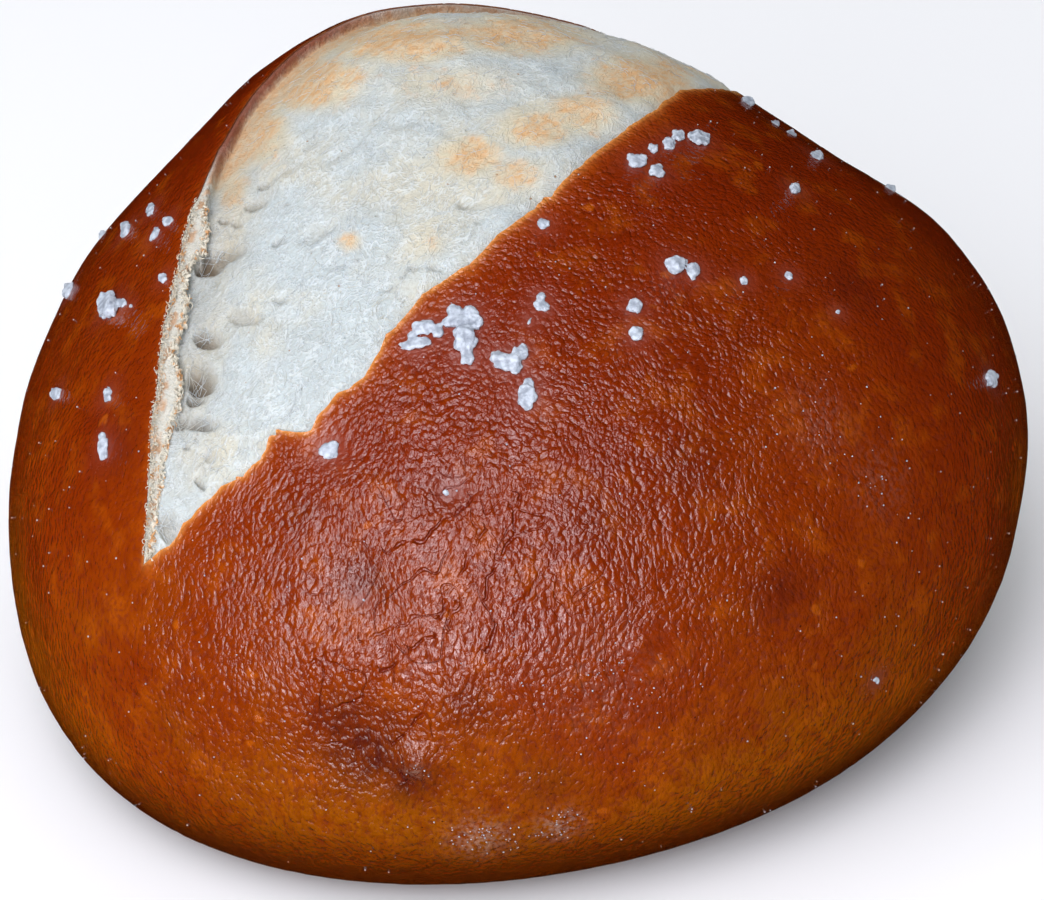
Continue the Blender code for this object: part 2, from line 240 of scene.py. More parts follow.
skin = make_uncut_skin()
skin_shape = bmesh.new()
skin_shape.from_mesh(skin)
skin_tree = BVHTree.FromBMesh(skin_shape)
skin_shape.free()
print("uncut skin:", len(skin.vertices), "points")

# %% [markdown]
# ## The photo's view
# The camera stands where the photo was taken from: its place, lens and tilt were found by
# laying the roll's outline over the photo's. Once it is known, anything that shows in the photo
# can be read off in pixels, and a ray from the camera carries it onto the skin.

# %% From a pixel to the skin
PHOTO_WIDE, PHOTO_HIGH = 1044, 900
CAMERA_AT, CAMERA_AIM = Vector((-268.993, -214.053, 227.702)), Vector((1.190, -2.963, 21.687))
CAMERA_ROLL, CAMERA_LENS, CAMERA_SENSOR = 2.398, 147.88, 36.0


def camera_turn():
    """The camera's axes as the columns of a matrix: right, up and back."""
    turn = (CAMERA_AIM - CAMERA_AT).to_track_quat("-Z", "Y").to_matrix()
    return turn @ Matrix.Rotation(math.radians(-CAMERA_ROLL), 3, "Z")


PIXEL_SLOPE = CAMERA_SENSOR / CAMERA_LENS / PHOTO_WIDE


def seen_at(pixel_x, pixel_y, tree=skin_tree):
    """A surface's place and normal at a pixel of the photo."""
    aside, above = pixel_x - PHOTO_WIDE / 2.0, PHOTO_HIGH / 2.0 - pixel_y
    ray = camera_turn() @ Vector((aside * PIXEL_SLOPE, above * PIXEL_SLOPE, -1.0))
    return tree.ray_cast(CAMERA_AT, ray.normalized())[:2]


def pixels_of(points):
    """The pixel at which each of many points shows."""
    seen = (points - np.array(CAMERA_AT)) @ np.array(camera_turn())
    aside, above = seen[:, 0] / -seen[:, 2], seen[:, 1] / -seen[:, 2]
    return PHOTO_WIDE / 2.0 + aside / PIXEL_SLOPE, PHOTO_HIGH / 2.0 - above / PIXEL_SLOPE


print("the middle of the photo shows", seen_at(PHOTO_WIDE / 2.0, PHOTO_HIGH / 2.0)[0])

# %% [markdown]
# ## How the front lip tore
# The rule gives the lip's sweep, but the skin tore in small steps and flaps. Its bends are read
# off as pixels, and how far each stands from the rule is added to it.

# %% The front lip's bends
FRONT_LIP_SHOWN = (
    (160, 550), (169, 546), (177, 536), (183, 523), (191, 518), (196, 511), (204, 503), (213, 496),
    (221, 486), (234, 477), (238, 479), (243, 476), (251, 466), (260, 459), (266, 449), (269, 436),
    (275, 429), (280, 434), (304, 432), (311, 430), (317, 416), (329, 404), (337, 393), (349, 389),
    (354, 384), (365, 376), (371, 365), (379, 352), (384, 340), (386, 334), (396, 327), (404, 317),
    (410, 310), (420, 297), (421, 294), (435, 286), (450, 276), (465, 266), (469, 265), (479, 255),
    (496, 236), (515, 222), (535, 209), (544, 197), (551, 197), (554, 191), (564, 180), (590, 157),
    (612, 140), (632, 124), (660, 105), (680, 90),
)
SHIFT_FADES = 4.0


def front_shifts():
    """(x, shift) of each bend, and 0 a little past both ends."""
    bends = [seen_at(*pixel)[0] for pixel in FRONT_LIP_SHOWN]
    places = sorted((place.x, place.y) for place in bends if place)
    shifts = [(x, y - ruled_lips(x)[0]) for x, y in places]
    return [(shifts[0][0] - SHIFT_FADES, 0.0), *shifts, (shifts[-1][0] + SHIFT_FADES, 0.0)]


FRONT_SHIFTS = np.transpose(front_shifts())


def lip_lines(x):
    """The y of the front and the back lip at x."""
    front, back = ruled_lips(x)
    return min(front + float(np.interp(x, *FRONT_SHIFTS)), back - 0.02), back


print("the front lip is shifted by up to", round(float(np.abs(FRONT_SHIFTS[1]).max()), 2), "mm")

# %% [markdown]
# ## Opening the cut
# The opening is made the way the knife and the oven made it: a leaf-shaped block with the two
# torn lips as its walls is taken out of the skin. A Boolean keeps the lips exact, and the
# MANIFOLD solver does it in a moment because both shapes are closed. It hands over the walls'
# faces in a new order each time, and dust is strewn by that order, so they are sorted.

# %% Cut the skin
LIP_STEPS = 900
TROUGH_FLOOR = 21.0
TROUGH_TOP = 90.0
DOWN = Vector((0.0, 0.0, -1.0))


def skin_height(x, y):
    """The skin's height over the table at (x, y), in mm."""
    hit = skin_tree.ray_cast(Vector((x, y, TROUGH_TOP)), DOWN)[0]
    return hit.z if hit else 0.0


def lip_stations(count):
    """x values from tip to tip, closer together near the tips."""
    turns = [math.pi * step / count for step in range(count + 1)]
    return [CUT_MIDDLE[0] - CUT_HALF_LENGTH * math.cos(turn) for turn in turns]


def mark_source(mesh, source):
    """Writes into each face which shape it comes from: 0 for the skin, 1 for the trough."""
    layer = mesh.attributes.new("source", "INT", "FACE")
    layer.data.foreach_set("value", [source] * len(mesh.polygons))


def make_trough():
    stations = lip_stations(LIP_STEPS)
    front = [(x, lip_lines(x)[0]) for x in stations[1:-1]]
    back = [(x, lip_lines(x)[1]) for x in stations[1:-1]]
    tips = [(stations[0], CUT_MIDDLE[1]), (stations[-1], CUT_MIDDLE[1])]
    shape = bmesh.new()
    rim = [shape.verts.new((x, y, TROUGH_FLOOR)) for x, y in [tips[0], *front, tips[1], *reversed(back)]]
    floor = shape.faces.new(rim)
    raised = bmesh.ops.extrude_face_region(shape, geom=[floor])["geom"]
    tops = [item for item in raised if isinstance(item, bmesh.types.BMVert)]
    bmesh.ops.translate(shape, vec=(0.0, 0.0, TROUGH_TOP - TROUGH_FLOOR), verts=tops)
    bmesh.ops.triangulate(shape, faces=shape.faces)
    bmesh.ops.recalc_face_normals(shape, faces=shape.faces)
    mesh = bpy.data.meshes.new("trough")
    shape.to_mesh(mesh)
    shape.free()
    mark_source(mesh, 1)
    return new_piece("trough", mesh)


def baked_mesh(piece):
    """The piece's mesh with its modifiers worked in."""
    graph = bpy.context.evaluated_depsgraph_get()
    seen = piece.evaluated_get(graph)
    return bpy.data.meshes.new_from_object(seen, preserve_all_data_layers=True, depsgraph=graph)


def settled(mesh):
    """The same mesh with the trough's faces last, sorted by the places of their corners."""
    places = [tuple(point.co) for point in mesh.vertices]
    faces, walls = [], []
    for face, source in zip(mesh.polygons, mesh.attributes["source"].data):
        corners = [places[corner] for corner in face.vertices]
        if source.value:
            first = corners.index(min(corners))
            walls.append(corners[first:] + corners[:first])
        else:
            faces.append(corners)
    faces, numbers = faces + sorted(walls), {}
    for corners in faces:
        for place in corners:
            numbers.setdefault(place, len(numbers))
    in_order = bpy.data.meshes.new("crust")
    in_order.from_pydata(list(numbers), [], [[numbers[place] for place in corners] for corners in faces])
    print(len(walls), "of", len(faces), "faces come from the trough")
    return in_order


def cut_skin():
    mark_source(skin, 0)
    crust = new_piece("crust", skin)
    trough = make_trough()
    step = crust.modifiers.new("open the cut", "BOOLEAN")
    step.operation = "DIFFERENCE"
    step.solver = "MANIFOLD"
    step.object = trough
    crust.data = settled(baked_mesh(crust))
    crust.modifiers.clear()
    bpy.data.objects.remove(trough, do_unlink=True)
    return crust


def triangles(mesh):
    return sum(len(face.vertices) - 2 for face in mesh.polygons)


crust = cut_skin()
dissolve_sole(crust.data)
print("cut skin:", len(crust.data.vertices), "points,", triangles(crust.data), "triangles")

# %% [markdown]
# ## Marks on the skin
# The colour of a crust follows what happened to it: it stays lighter where it tore last, goes purple-brown
# where it wrinkled and dried, is smooth round each grain of salt, and has a bloom of dried lye and flour
# dust in places; the bloom's pale tint is partly that dust and partly a painted sheen. Along its creases it
# is drawn a darker red, partly their own colour and partly painted shade. Each of these is one number for
# each point of the mesh, stored as an attribute that the material reads later.

# %% Where the marks are
# (pixel x, pixel y, radius in mm, strength) of the purple-brown patches that the photo shows
DARK_SHOWN = (
    (364, 582, 2.4, 0.7), (346, 724, 3.0, 0.75), (366, 752, 3.4, 1.0), (404, 778, 2.8, 0.95),
    (338, 752, 2.4, 0.55), (782, 590, 2.8, 0.6), (300, 512, 1.6, 0.4), (446, 494, 2.0, 0.4),
    (120, 448, 2.4, 0.4), (852, 288, 3.0, 0.5), (690, 465, 3.0, 0.35), (388, 722, 2.2, 0.5),
    (470, 706, 2.2, 0.5), (545, 785, 2.2, 0.4), (590, 520, 3.0, 0.3),
)
# (x, y, height, radius, strength)
# the dust marks: dried lye and dust, with a painted sheen laid over the same places
DUST_AND_SHEEN_MARKS = (
    (-38.0, -27.3, 10.8, 3.2, 0.9), (-33.4, -32.4, 11.5, 2.6, 0.9), (-5.8, -40.7, 40.7, 4.2, 0.45),
    (-3.6, -45.4, 35.2, 4.4, 0.4), (-42.0, -23.9, 19.0, 1.3, 0.9), (-30.0, -34.0, 26.0, 7.0, 0.42),
    (-27.0, -25.0, 40.0, 3.4, 0.25), (30.0, 28.0, 30.0, 6.0, 0.4), (28.0, -33.0, 30.0, 6.0, 0.30),
)
WRINKLE_MARKS = (
    (-37.0, -24.5, 34.0, 11.0, 1.0), (-43.5, -19.0, 24.0, 8.0, 1.0), (-30.0, -32.0, 36.0, 7.0, 0.7),
    (14.0, 42.0, 26.0, 10.0, 0.8), (43.0, 8.0, 26.0, 9.0, 0.8),
)
# the creases' bends, in pixels of the photo
CREASES = (
    ((386, 555), (398, 545), (411, 540), (423, 542), (432, 532), (444, 518), (460, 510), (472, 498)),
    ((441, 619), (445, 599), (454, 584), (466, 568), (478, 541), (489, 527)),
    ((452, 631), (453, 614), (457, 602)),
    ((486, 599), (487, 579), (499, 565), (506, 545), (516, 536), (514, 515), (521, 492)),
    ((408, 651), (423, 640), (434, 636)), ((487, 653), (493, 634), (499, 622)),
    ((327, 713), (345, 704), (364, 698)), ((379, 673), (394, 666), (419, 646)),
    ((361, 643), (379, 634), (400, 622)), ((391, 745), (405, 733), (419, 718), (430, 700)),
    ((318, 745), (339, 742), (358, 751)),
)
CREASE_FULL, CREASE_GONE = 0.5, 0.68
RIM_REACH, EDGE_REACH = 1.3, 0.22
SALT_RING, RING_LEAST, RING_A_MM, RING_MOST = 1.5, 0.45, 0.4, 1.3
FAR_FROM_CREASE, FAR_FROM_LIP, LIP_PATH_STEPS = 9.0, 50.0, 240
WALL_SLACK, WALL_LEAN = 0.3, 0.12


def marks(points, table):
    """The strength of the marks of a table at each point, from 0 to 1."""
    total = np.zeros(len(points))
    for x, y, height, radius, strength in table:
        away = np.linalg.norm(points - (x, y, height), axis=1)
        total = np.maximum(total, strength * np.exp(-((away / radius) ** 2)))
    return total


def distance_to_path(points, path):
    """Each point's distance to a path of straight runs."""
    nearest = np.full(len(points), 1.0e9)
    for start, end in zip(path[:-1], path[1:]):
        start, run = np.array(start), np.subtract(end, start)
        share = np.clip((points - start) @ run / (run @ run), 0.0, 1.0)
        nearest = np.minimum(nearest, np.linalg.norm(points - start - share[:, None] * run, axis=1))
    return nearest


def crease_field(points):
    """Each point's distance to the nearest crease, below 0 on one side, and if it is close to one.

    A distance with a side passes through 0 between the points of the mesh, so the material can
    draw a crease that is finer than the mesh.
    """
    nearest, side = np.full(len(points), FAR_FROM_CREASE), np.ones(len(points))
    for crease in CREASES:
        bends = [seen_at(*pixel) for pixel in crease]
        last = len(bends) - 2
        for step, ((start, normal), (end, _)) in enumerate(zip(bends[:-1], bends[1:])):
            run, away = np.array(end - start), points - np.array(start)
            share = away @ run / (run @ run)
            distance = np.linalg.norm(away - np.clip(share, 0.0, 1.0)[:, None] * run, axis=1)
            turned = np.sign(away @ np.cross(run, np.array(normal)))
            past_end = ((step == 0) & (share < 0.0)) | ((step == last) & (share > 1.0))
            closer = distance < nearest
            side = np.where(closer, np.where(past_end, 1.0, turned), side)
            nearest = np.where(closer, distance, nearest)
    away = np.clip((nearest - CREASE_FULL) / (CREASE_GONE - CREASE_FULL), 0.0, 1.0)
    return nearest * side, 1.0 - away


def store(mesh, name, values):
    layer = mesh.attributes.new(name, "FLOAT", "POINT")
    layer.data.foreach_set("value", values.astype(np.float32))


# %% [markdown]
# ## Coarse salt
# Pretzel salt is pressed rock salt: white, dull grains of 1 to 3.5 mm with rounded lobes, some
# stuck together. Each lobe of the grains that the photo shows is read off in its pixels, and a
# seeded rule throws the rest over the side that it doesn't show. The list comes before the
# skin's marks, because the skin stays smooth and a little lighter in a ring round each grain.

# %% Where the grains lie
# (pixel x, pixel y, length and width in mm as they show, turn in degrees) of each lobe
SALT_LOBES = (
    (424, 327, 2.5, 1.6, 0), (438, 332, 1.2, 1.6, 0), (416, 344, 3.2, 1.3, 10), (412, 337, 1.0, 1.1, 0),
    (454, 311, 1.7, 1.4, 0), (471, 314, 1.9, 1.5, -15), (477, 323, 1.3, 1.5, 0), (457, 322, 3.1, 1.5, 4),
    (465, 340, 2.6, 2.7, 0), (467, 356, 1.4, 2.3, 0), (465, 329, 1.8, 1.4, 0), (506, 362, 3.1, 1.9, -12),
    (520, 353, 1.8, 1.7, 0), (496, 357, 1.2, 1.4, 0), (516, 368, 1.3, 1.4, 0), (527, 397, 1.9, 2.9, 0),
    (529, 385, 1.2, 1.5, 0), (541, 298, 1.0, 1.3, 0), (541, 306, 1.8, 1.2, -8), (530, 321, 0.5, 1.0, -30),
    (638, 162, 2.2, 1.5, 10), (631, 158, 1.0, 1.0, 0), (657, 172, 1.8, 1.4, 0), (653, 149, 1.2, 1.1, 0),
    (669, 144, 1.4, 1.4, 0), (678, 136, 1.5, 1.3, 0), (699, 139, 2.4, 1.7, -8), (692, 136, 1.0, 1.0, 0),
    (675, 266, 2.2, 1.9, 0), (693, 271, 1.4, 2.0, 10), (684, 262, 0.9, 0.8, 0), (635, 307, 1.5, 1.6, 30),
    (629, 309, 0.7, 0.6, 0), (636, 334, 1.6, 1.6, 0), (744, 281, 0.8, 1.1, 20), (789, 276, 1.1, 0.8, -10),
    (838, 312, 0.6, 0.6, 0), (329, 451, 2.0, 1.7, 0), (334, 446, 1.1, 1.1, 0), (543, 224, 1.3, 1.3, 0),
    (747, 103, 1.6, 1.3, 0), (775, 124, 1.1, 0.9, 0), (791, 134, 1.3, 1.0, 0), (817, 156, 1.5, 1.3, -20),
    (795, 189, 1.3, 1.3, 0), (890, 189, 1.3, 1.1, 0), (907, 194, 1.0, 0.9, 0), (991, 379, 1.6, 1.9, 0),
    (876, 680, 0.7, 1.1, 30), (111, 306, 2.4, 2.9, 0), (105, 311, 1.5, 1.8, 0), (122, 303, 1.2, 1.0, 0),
    (131, 306, 0.5, 0.5, 0), (126, 230, 1.3, 1.9, 0), (151, 210, 1.1, 1.7, 0), (168, 221, 1.4, 1.1, 10),
    (155, 234, 1.9, 0.9, 70), (163, 278, 1.0, 1.1, 0), (103, 235, 1.0, 1.2, 0), (70, 291, 1.5, 2.1, 0),
    (57, 394, 1.3, 1.4, 0), (108, 395, 1.0, 1.7, 0), (104, 448, 1.2, 2.5, 0), (102, 437, 0.9, 1.1, 0),
    (446, 493, 0.7, 0.7, 0), (457, 491, 0.4, 0.4, 0), (364, 600, 0.4, 0.4, 0),
)
# (x, y, spread, count) of each thrown patch, in mm
SALT_PATCHES = ((29.0, 33.0, 4.5, 6), (20.0, 41.0, 3.5, 4), (39.0, 18.0, 3.5, 4), (45.0, 4.0, 2.5, 3))
PATCH_GRAIN = (1.3, 2.4)
SALT_SEED = 11


def thrown_grains():
    """The patches' grains, drawn in the order that the solid draws them."""
    draw = random.Random(SALT_SEED)
    for x, y, spread, count in SALT_PATCHES:
        for _ in range(count):
            angle = draw.uniform(0.0, math.tau)
            away = spread * math.sqrt(draw.random())
            length = draw.uniform(*PATCH_GRAIN)
            place, normal = skin_tree.ray_cast(
                Vector((x + away * math.cos(angle), y + away * math.sin(angle), TROUGH_TOP)), DOWN)[:2]
            if place:
                yield place, normal, length


shown_lobes = [(*seen_at(*lobe[:2]), *lobe[2:]) for lobe in SALT_LOBES]
shown_lobes = [lobe for lobe in shown_lobes if lobe[0]]
thrown = list(thrown_grains())
salt_seats = [(place, max(length, width)) for place, _, length, width, _ in shown_lobes]
salt_seats += [(place, length) for place, _, length in thrown]
print(len(shown_lobes), "lobes of salt in sight,", len(thrown), "grains out of sight")

# %% Write the marks into the skin
def lip_distance(points):
    """Each point's distance to the nearer lip, for the points of the roll's upper half."""
    stations = lip_stations(LIP_PATH_STEPS)
    lips = [[(x, lip_lines(x)[side]) for x in stations] for side in (0, 1)]
    nearest = np.full(len(points), FAR_FROM_LIP)
    upper = points[:, 2] > WAIST
    for lip in lips:
        path = [(x, y, skin_height(x, y)) for x, y in lip[1:-1]]
        nearest[upper] = np.minimum(nearest[upper], distance_to_path(points[upper], path))
    return nearest


def mark_walls(mesh):
    """Marks the faces of the cut's walls, which take the torn edge's finish."""
    centres, normals = np.empty(len(mesh.polygons) * 3), np.empty(len(mesh.polygons) * 3)
    mesh.polygons.foreach_get("center", centres)
    mesh.polygons.foreach_get("normal", normals)
    x, y, z = centres.reshape(-1, 3).T
    stations = lip_stations(LIP_STEPS)
    front, back = np.array([lip_lines(station) for station in stations]).T
    after_front = y > np.interp(x, stations, front) - WALL_SLACK
    before_back = y < np.interp(x, stations, back) + WALL_SLACK
    in_length = np.abs(x - CUT_MIDDLE[0]) < CUT_HALF_LENGTH - WALL_SLACK
    upright = np.abs(normals.reshape(-1, 3)[:, 2]) < WALL_LEAN
    wall = after_front & before_back & in_length & upright & (z > TROUGH_FLOOR)
    layer = mesh.attributes.new("wall", "FLOAT", "FACE")
    layer.data.foreach_set("value", wall.astype(np.float32))


def mark_skin(mesh):
    points = read_points(mesh)
    ring = [(*place, SALT_RING * min(RING_MOST, RING_LEAST + RING_A_MM * size), 1.0)
            for place, size in salt_seats]
    patches = [(*seen_at(pixel_x, pixel_y)[0], *rest) for pixel_x, pixel_y, *rest in DARK_SHOWN]
    from_lip = lip_distance(points)
    crease, creased = crease_field(points)
    store(mesh, "rim", np.exp(-from_lip / RIM_REACH))
    store(mesh, "edge", np.exp(-from_lip / EDGE_REACH))
    store(mesh, "crease", crease)
    store(mesh, "creased", creased)
    store(mesh, "dark", marks(points, patches))
    store(mesh, "wrinkled", marks(points, WRINKLE_MARKS))
    store(mesh, "dust", marks(points, DUST_AND_SHEEN_MARKS))
    store(mesh, "calm", marks(points, ring))
    mark_walls(mesh)


mark_skin(crust.data)
print("marks stored:", [layer.name for layer in crust.data.attributes if layer.data_type == "FLOAT"])

# %% [markdown]
# ## The crumb
# Where the cut opened, dough that was inside is stretched over the top: soft, pale and full of
# burst gas cells. Under the back lip a torn shelf of it hangs on. Past the shelf it sinks into
# a shallow trough with burst cells, and at the front lip it sits just under the skin. A height
# rule over a grid that is closer beside the shelf makes a clean surface with enough points for
# pores, and the grid is closed below. The burst cells and the toasted patches that the photo
# shows are ovals in its pixels.

# %% Shape of the crumb
CRUMB_ALONG, CRUMB_ACROSS = 440, 205
CRUMB_UNDER_FRONT, CRUMB_UNDER_BACK = 1.2, 0.25
CRUMB_FLOOR = 24.0
CLOSER_AT_BACK = 0.55
RECESS, RECESS_REACH, RECESS_FADES, RECESS_LOSS = 1.7, 6.0, (-16.0, 0.0), 0.25
RECESS_OPENS, RECESS_AT_TIP = 2.2, 0.12
# how wide the torn shelf under the back lip is, from the near tip on: (x, width)
SHELF_WIDTHS = (
    (-45.0, 0.5), (-40.0, 1.3), (-35.3, 2.3), (-33.4, 2.4), (-31.9, 1.1), (-30.9, 1.5), (-29.0, 1.7),
    (-27.5, 1.7), (-25.0, 0.7), (-23.4, 1.6), (-22.5, 2.3), (-20.8, 2.1), (-18.5, 0.7), (-15.0, 0.35),
    (40.0, 0.3),
)
SHELF_VARIES, SHELF_SIZE, SHELF_DROP = 0.35, 1.3, 0.40
SHELF_FRAY, FRAY_SIZE = 0.30, 0.45
RAGGED_FADES, RAGGED_LOSS = (-19.0, -13.0), 0.85
SHELF_SUNK, SHELF_BUMP, FRAY_BUMP, SHELF_SLOPE = 0.15, 0.14, 0.12, 0.30
TUCK_DROP, TUCK_SLOPE = 0.25, 0.6
FRONT_SINK, FRONT_REACH, FRONT_SLOPE = 0.6, 0.9, 0.5
CROWN_OF_CRUMB = -0.35
# painted shade in the recess and the burst cells, stronger beside the shelf
SHADE_OF_RECESS, SHADE_OF_HOLLOW, SHELF_SHADE, SHADE_REACH = 0.55, 1.5, 0.8, 1.5
# (pixel x, pixel y, half width and half height in pixels, turn in degrees, depth in mm)
HOLLOWS = (
    (200, 262, 13, 13, 0, 1.3), (203, 337, 10, 10, 0, 1.2), (197, 378, 10, 17, 5, 1.4),
    (221, 254, 14, 9, 20, 0.9), (196, 423, 12, 8, 0, 1.0), (252, 202, 8, 5, 20, 1.0),
    (181, 422, 5, 10, -25, 0.7), (166, 526, 9, 15, 10, 0.7), (193, 398, 7, 8, 0, 0.9),
    (198, 481, 6, 3, -50, 0.8), (222, 221, 5, 3, 0, 0.8), (235, 221, 4, 3, 0, 0.7),
    (262, 182, 5, 4, 20, 0.7), (277, 238, 6, 4, 20, 0.6), (240, 313, 13, 10, 0, 0.5),
    (209, 455, 6, 8, 0, 0.35), (187, 448, 3, 2, 0, 0.5), (313, 233, 16, 9, 30, 0.4),
    (412, 266, 5, 4, 0, 0.45), (432, 265, 7, 5, 0, 0.45), (462, 199, 6, 5, 0, 0.5),
    (477, 217, 4, 3, 0, 0.4), (385, 287, 8, 3, 20, 0.3), (278, 295, 6, 5, 0, 0.45),
    (405, 297, 5, 3, 30, 0.3), (290, 165, 12, 6, 30, 0.25), (340, 150, 16, 7, 30, 0.2),
    (330, 262, 10, 6, 10, 0.25), (400, 120, 18, 7, 10, 0.2), (470, 95, 16, 7, 0, 0.2),
    (560, 90, 18, 7, 0, 0.2),
)
# (x, y, long radius, short radius, turn, depth in mm) of those that the photo doesn't show
FAR_HOLLOWS = (
    (9.0, 16.0, 1.8, 1.0, 20.0, 0.9), (23.0, 10.5, 1.4, 0.8, 0.0, 0.9), (30.0, 4.0, 0.9, 0.6, 0.0, 0.6),
)
EASY_SIDE, HOLLOW_RIM = 2.0, (0.35, 1.2)
LUMPS = ((0.40, 6.0), (0.14, 2.6), (0.05, 1.1))
# (pixel x, pixel y, half width and half height in pixels, strength) of the toasted patches
TOASTED_PATCHES = (
    (400, 36, 78, 24, 1.0), (520, 30, 80, 22, 0.85), (308, 74, 52, 30, 1.0), (260, 120, 28, 34, 0.85),
    (468, 154, 36, 22, 0.85), (535, 128, 44, 22, 0.75), (640, 78, 56, 26, 0.95), (580, 112, 44, 24, 0.7),
    (350, 240, 14, 11, 0.5), (232, 170, 18, 34, 0.6), (430, 242, 24, 18, 0.4), (455, 80, 90, 26, 0.4),
    (515, 175, 36, 22, 0.55), (500, 196, 26, 12, 0.35),
)
# (x, y, half length, half width, strength) of those on the far side
FAR_PATCHES = ((20.0, 8.0, 9.0, 5.0, 0.6), (26.0, -4.0, 8.0, 4.0, 0.5), (14.0, 17.0, 10.0, 3.0, 0.8))
BORDER_TOAST, BORDER_REACH = (-19.0, -12.0), 4.2
PULL_REACH, PULL_FADES = 7.0, (2.0, 18.0)


def smooth_step(values, low, high):
    share = np.clip((values - low) / (high - low), 0.0, 1.0)
    return share * share * (3.0 - 2.0 * share)


def noise_over(points, size, shift):
    """Noise at many points, between about -1 and 1."""
    offset = Vector((shift, shift, shift))
    return np.array([noise.noise(Vector(point) / size + offset) for point in points])


def crumb_grid():
    """The grid's x, y and the distance of each point from the front and the back lip."""
    turns = np.linspace(-math.pi / 2.0, math.pi / 2.0, CRUMB_ALONG + 1)
    xs = CUT_MIDDLE[0] + (CUT_HALF_LENGTH + CRUMB_UNDER_BACK) * np.sin(turns)
    lips = np.array([lip_lines(x) for x in xs])
    share = np.linspace(0.0, 1.0, CRUMB_ACROSS + 1)
    share = (1.0 - CLOSER_AT_BACK) * share + CLOSER_AT_BACK * (1.0 - (1.0 - share) ** 2)
    low, high = lips[:, :1] - CRUMB_UNDER_FRONT, lips[:, 1:] + CRUMB_UNDER_BACK
    y = low + (high - low) * share[None, :]
    x = np.repeat(xs[:, None], y.shape[1], axis=1)
    return x, y, y - lips[:, :1], lips[:, 1:] - y


def hollow_depth(x, y, points):
    """How deep the burst cells go at each point, in mm."""
    pixel_x, pixel_y = (side.reshape(x.shape) for side in pixels_of(points))
    shown = [(pixel_x - cx, cy - pixel_y, *rest) for cx, cy, *rest in HOLLOWS]
    far = [(x - cx, y - cy, *rest) for cx, cy, *rest in FAR_HOLLOWS]
    depth_here = np.zeros_like(x)
    for aside, above, long_radius, short_radius, turn, depth in shown + far:
        angle = math.radians(turn)
        along = aside * math.cos(angle) + above * math.sin(angle)
        across = above * math.cos(angle) - aside * math.sin(angle)
        along = np.where(along > 0.0, along / EASY_SIDE, along)
        away = np.hypot(along / long_radius, across / short_radius)
        depth_here = np.maximum(depth_here, depth * (1.0 - smooth_step(away, *HOLLOW_RIM)))
    return depth_here


def crumb_level(x, y, skin_z, from_front, from_back):
    """The crumb's height over the uncut skin, in mm, the painted shade of its recess and burst cells, and
    the shelf.
    """
    flat = np.stack([x.ravel(), y.ravel(), np.zeros(x.size)], axis=1)
    width = np.array([lip_offset(one, BACK_POWERS) for one in x[:, 0]])[:, None]
    lumps = sum(depth * noise_over(flat, size, 0.0) for depth, size in LUMPS).reshape(x.shape)
    torn = noise_over(flat * (1.0, 0.6, 1.0), SHELF_SIZE, 7.0).reshape(x.shape)
    fine = noise_over(flat, FRAY_SIZE, 3.0).reshape(x.shape)
    ragged = 1.0 - RAGGED_LOSS * smooth_step(x, *RAGGED_FADES)
    shelf = np.interp(x, *np.transpose(SHELF_WIDTHS)) + ragged * (SHELF_VARIES * torn + SHELF_FRAY * fine)
    shelf = np.maximum(shelf, 0.1)
    past_shelf = smooth_step(from_back - shelf, 0.0, SHELF_DROP)
    fades = 1.0 - RECESS_LOSS * smooth_step(x, *RECESS_FADES)
    recess = RECESS * np.minimum(1.0, RECESS_OPENS * width + RECESS_AT_TIP) * fades
    recess = recess * np.exp(-((np.maximum(from_back - shelf - SHELF_DROP, 0.0) / RECESS_REACH) ** 2))
    surface = np.stack([x, y + 0.25 * torn, skin_z - recess], axis=2).reshape(-1, 3)
    hollows = hollow_depth(x, y, surface) * past_shelf
    share = np.clip(from_front / np.maximum(from_front + from_back, 0.01), 0.0, 1.0)
    level = CROWN_OF_CRUMB * 4.0 * share * (1.0 - share) * width + lumps * past_shelf
    level -= FRONT_SINK * np.exp(-((np.maximum(from_front, 0.0) / FRONT_REACH) ** 2))
    level += FRONT_SLOPE * np.minimum(from_front, 0.0)
    shelf_top = -SHELF_SUNK + ragged * (SHELF_BUMP * torn + FRAY_BUMP * fine)
    shelf_top = shelf_top - SHELF_SLOPE * np.maximum(from_back, 0.0)
    level = level * past_shelf + shelf_top * (1.0 - past_shelf) - (recess + hollows) * past_shelf
    level = np.where(from_back < 0.0, -TUCK_DROP - TUCK_SLOPE * np.abs(from_back), level)
    shaded = 1.0 + SHELF_SHADE * np.exp(-np.maximum(from_back - shelf, 0.0) / SHADE_REACH)
    # painted shade: how much darker the recess and the burst cells are drawn
    painted_hollow_shade = (SHADE_OF_RECESS * recess + SHADE_OF_HOLLOW * hollows * shaded) * past_shelf
    return level, painted_hollow_shade, 1.0 - past_shelf


def crumb_toast(x, y, skin_z, from_back):
    """How toasted the crumb is, from 0 to 1."""
    toast = smooth_step(x, *BORDER_TOAST)
    toast = toast * np.exp(-((np.maximum(from_back, 0.0) / BORDER_REACH) ** 2))
    surface = np.stack([x, y, skin_z], axis=2).reshape(-1, 3)
    pixels = [side.reshape(x.shape) for side in pixels_of(surface)]
    for (aside, above), patches in ((pixels, TOASTED_PATCHES), ((x, y), FAR_PATCHES)):
        for middle_x, middle_y, half_width, half_height, strength in patches:
            away = np.hypot((aside - middle_x) / half_width, (above - middle_y) / half_height)
            toast = np.maximum(toast, strength * np.exp(-(away ** 2)))
    return toast


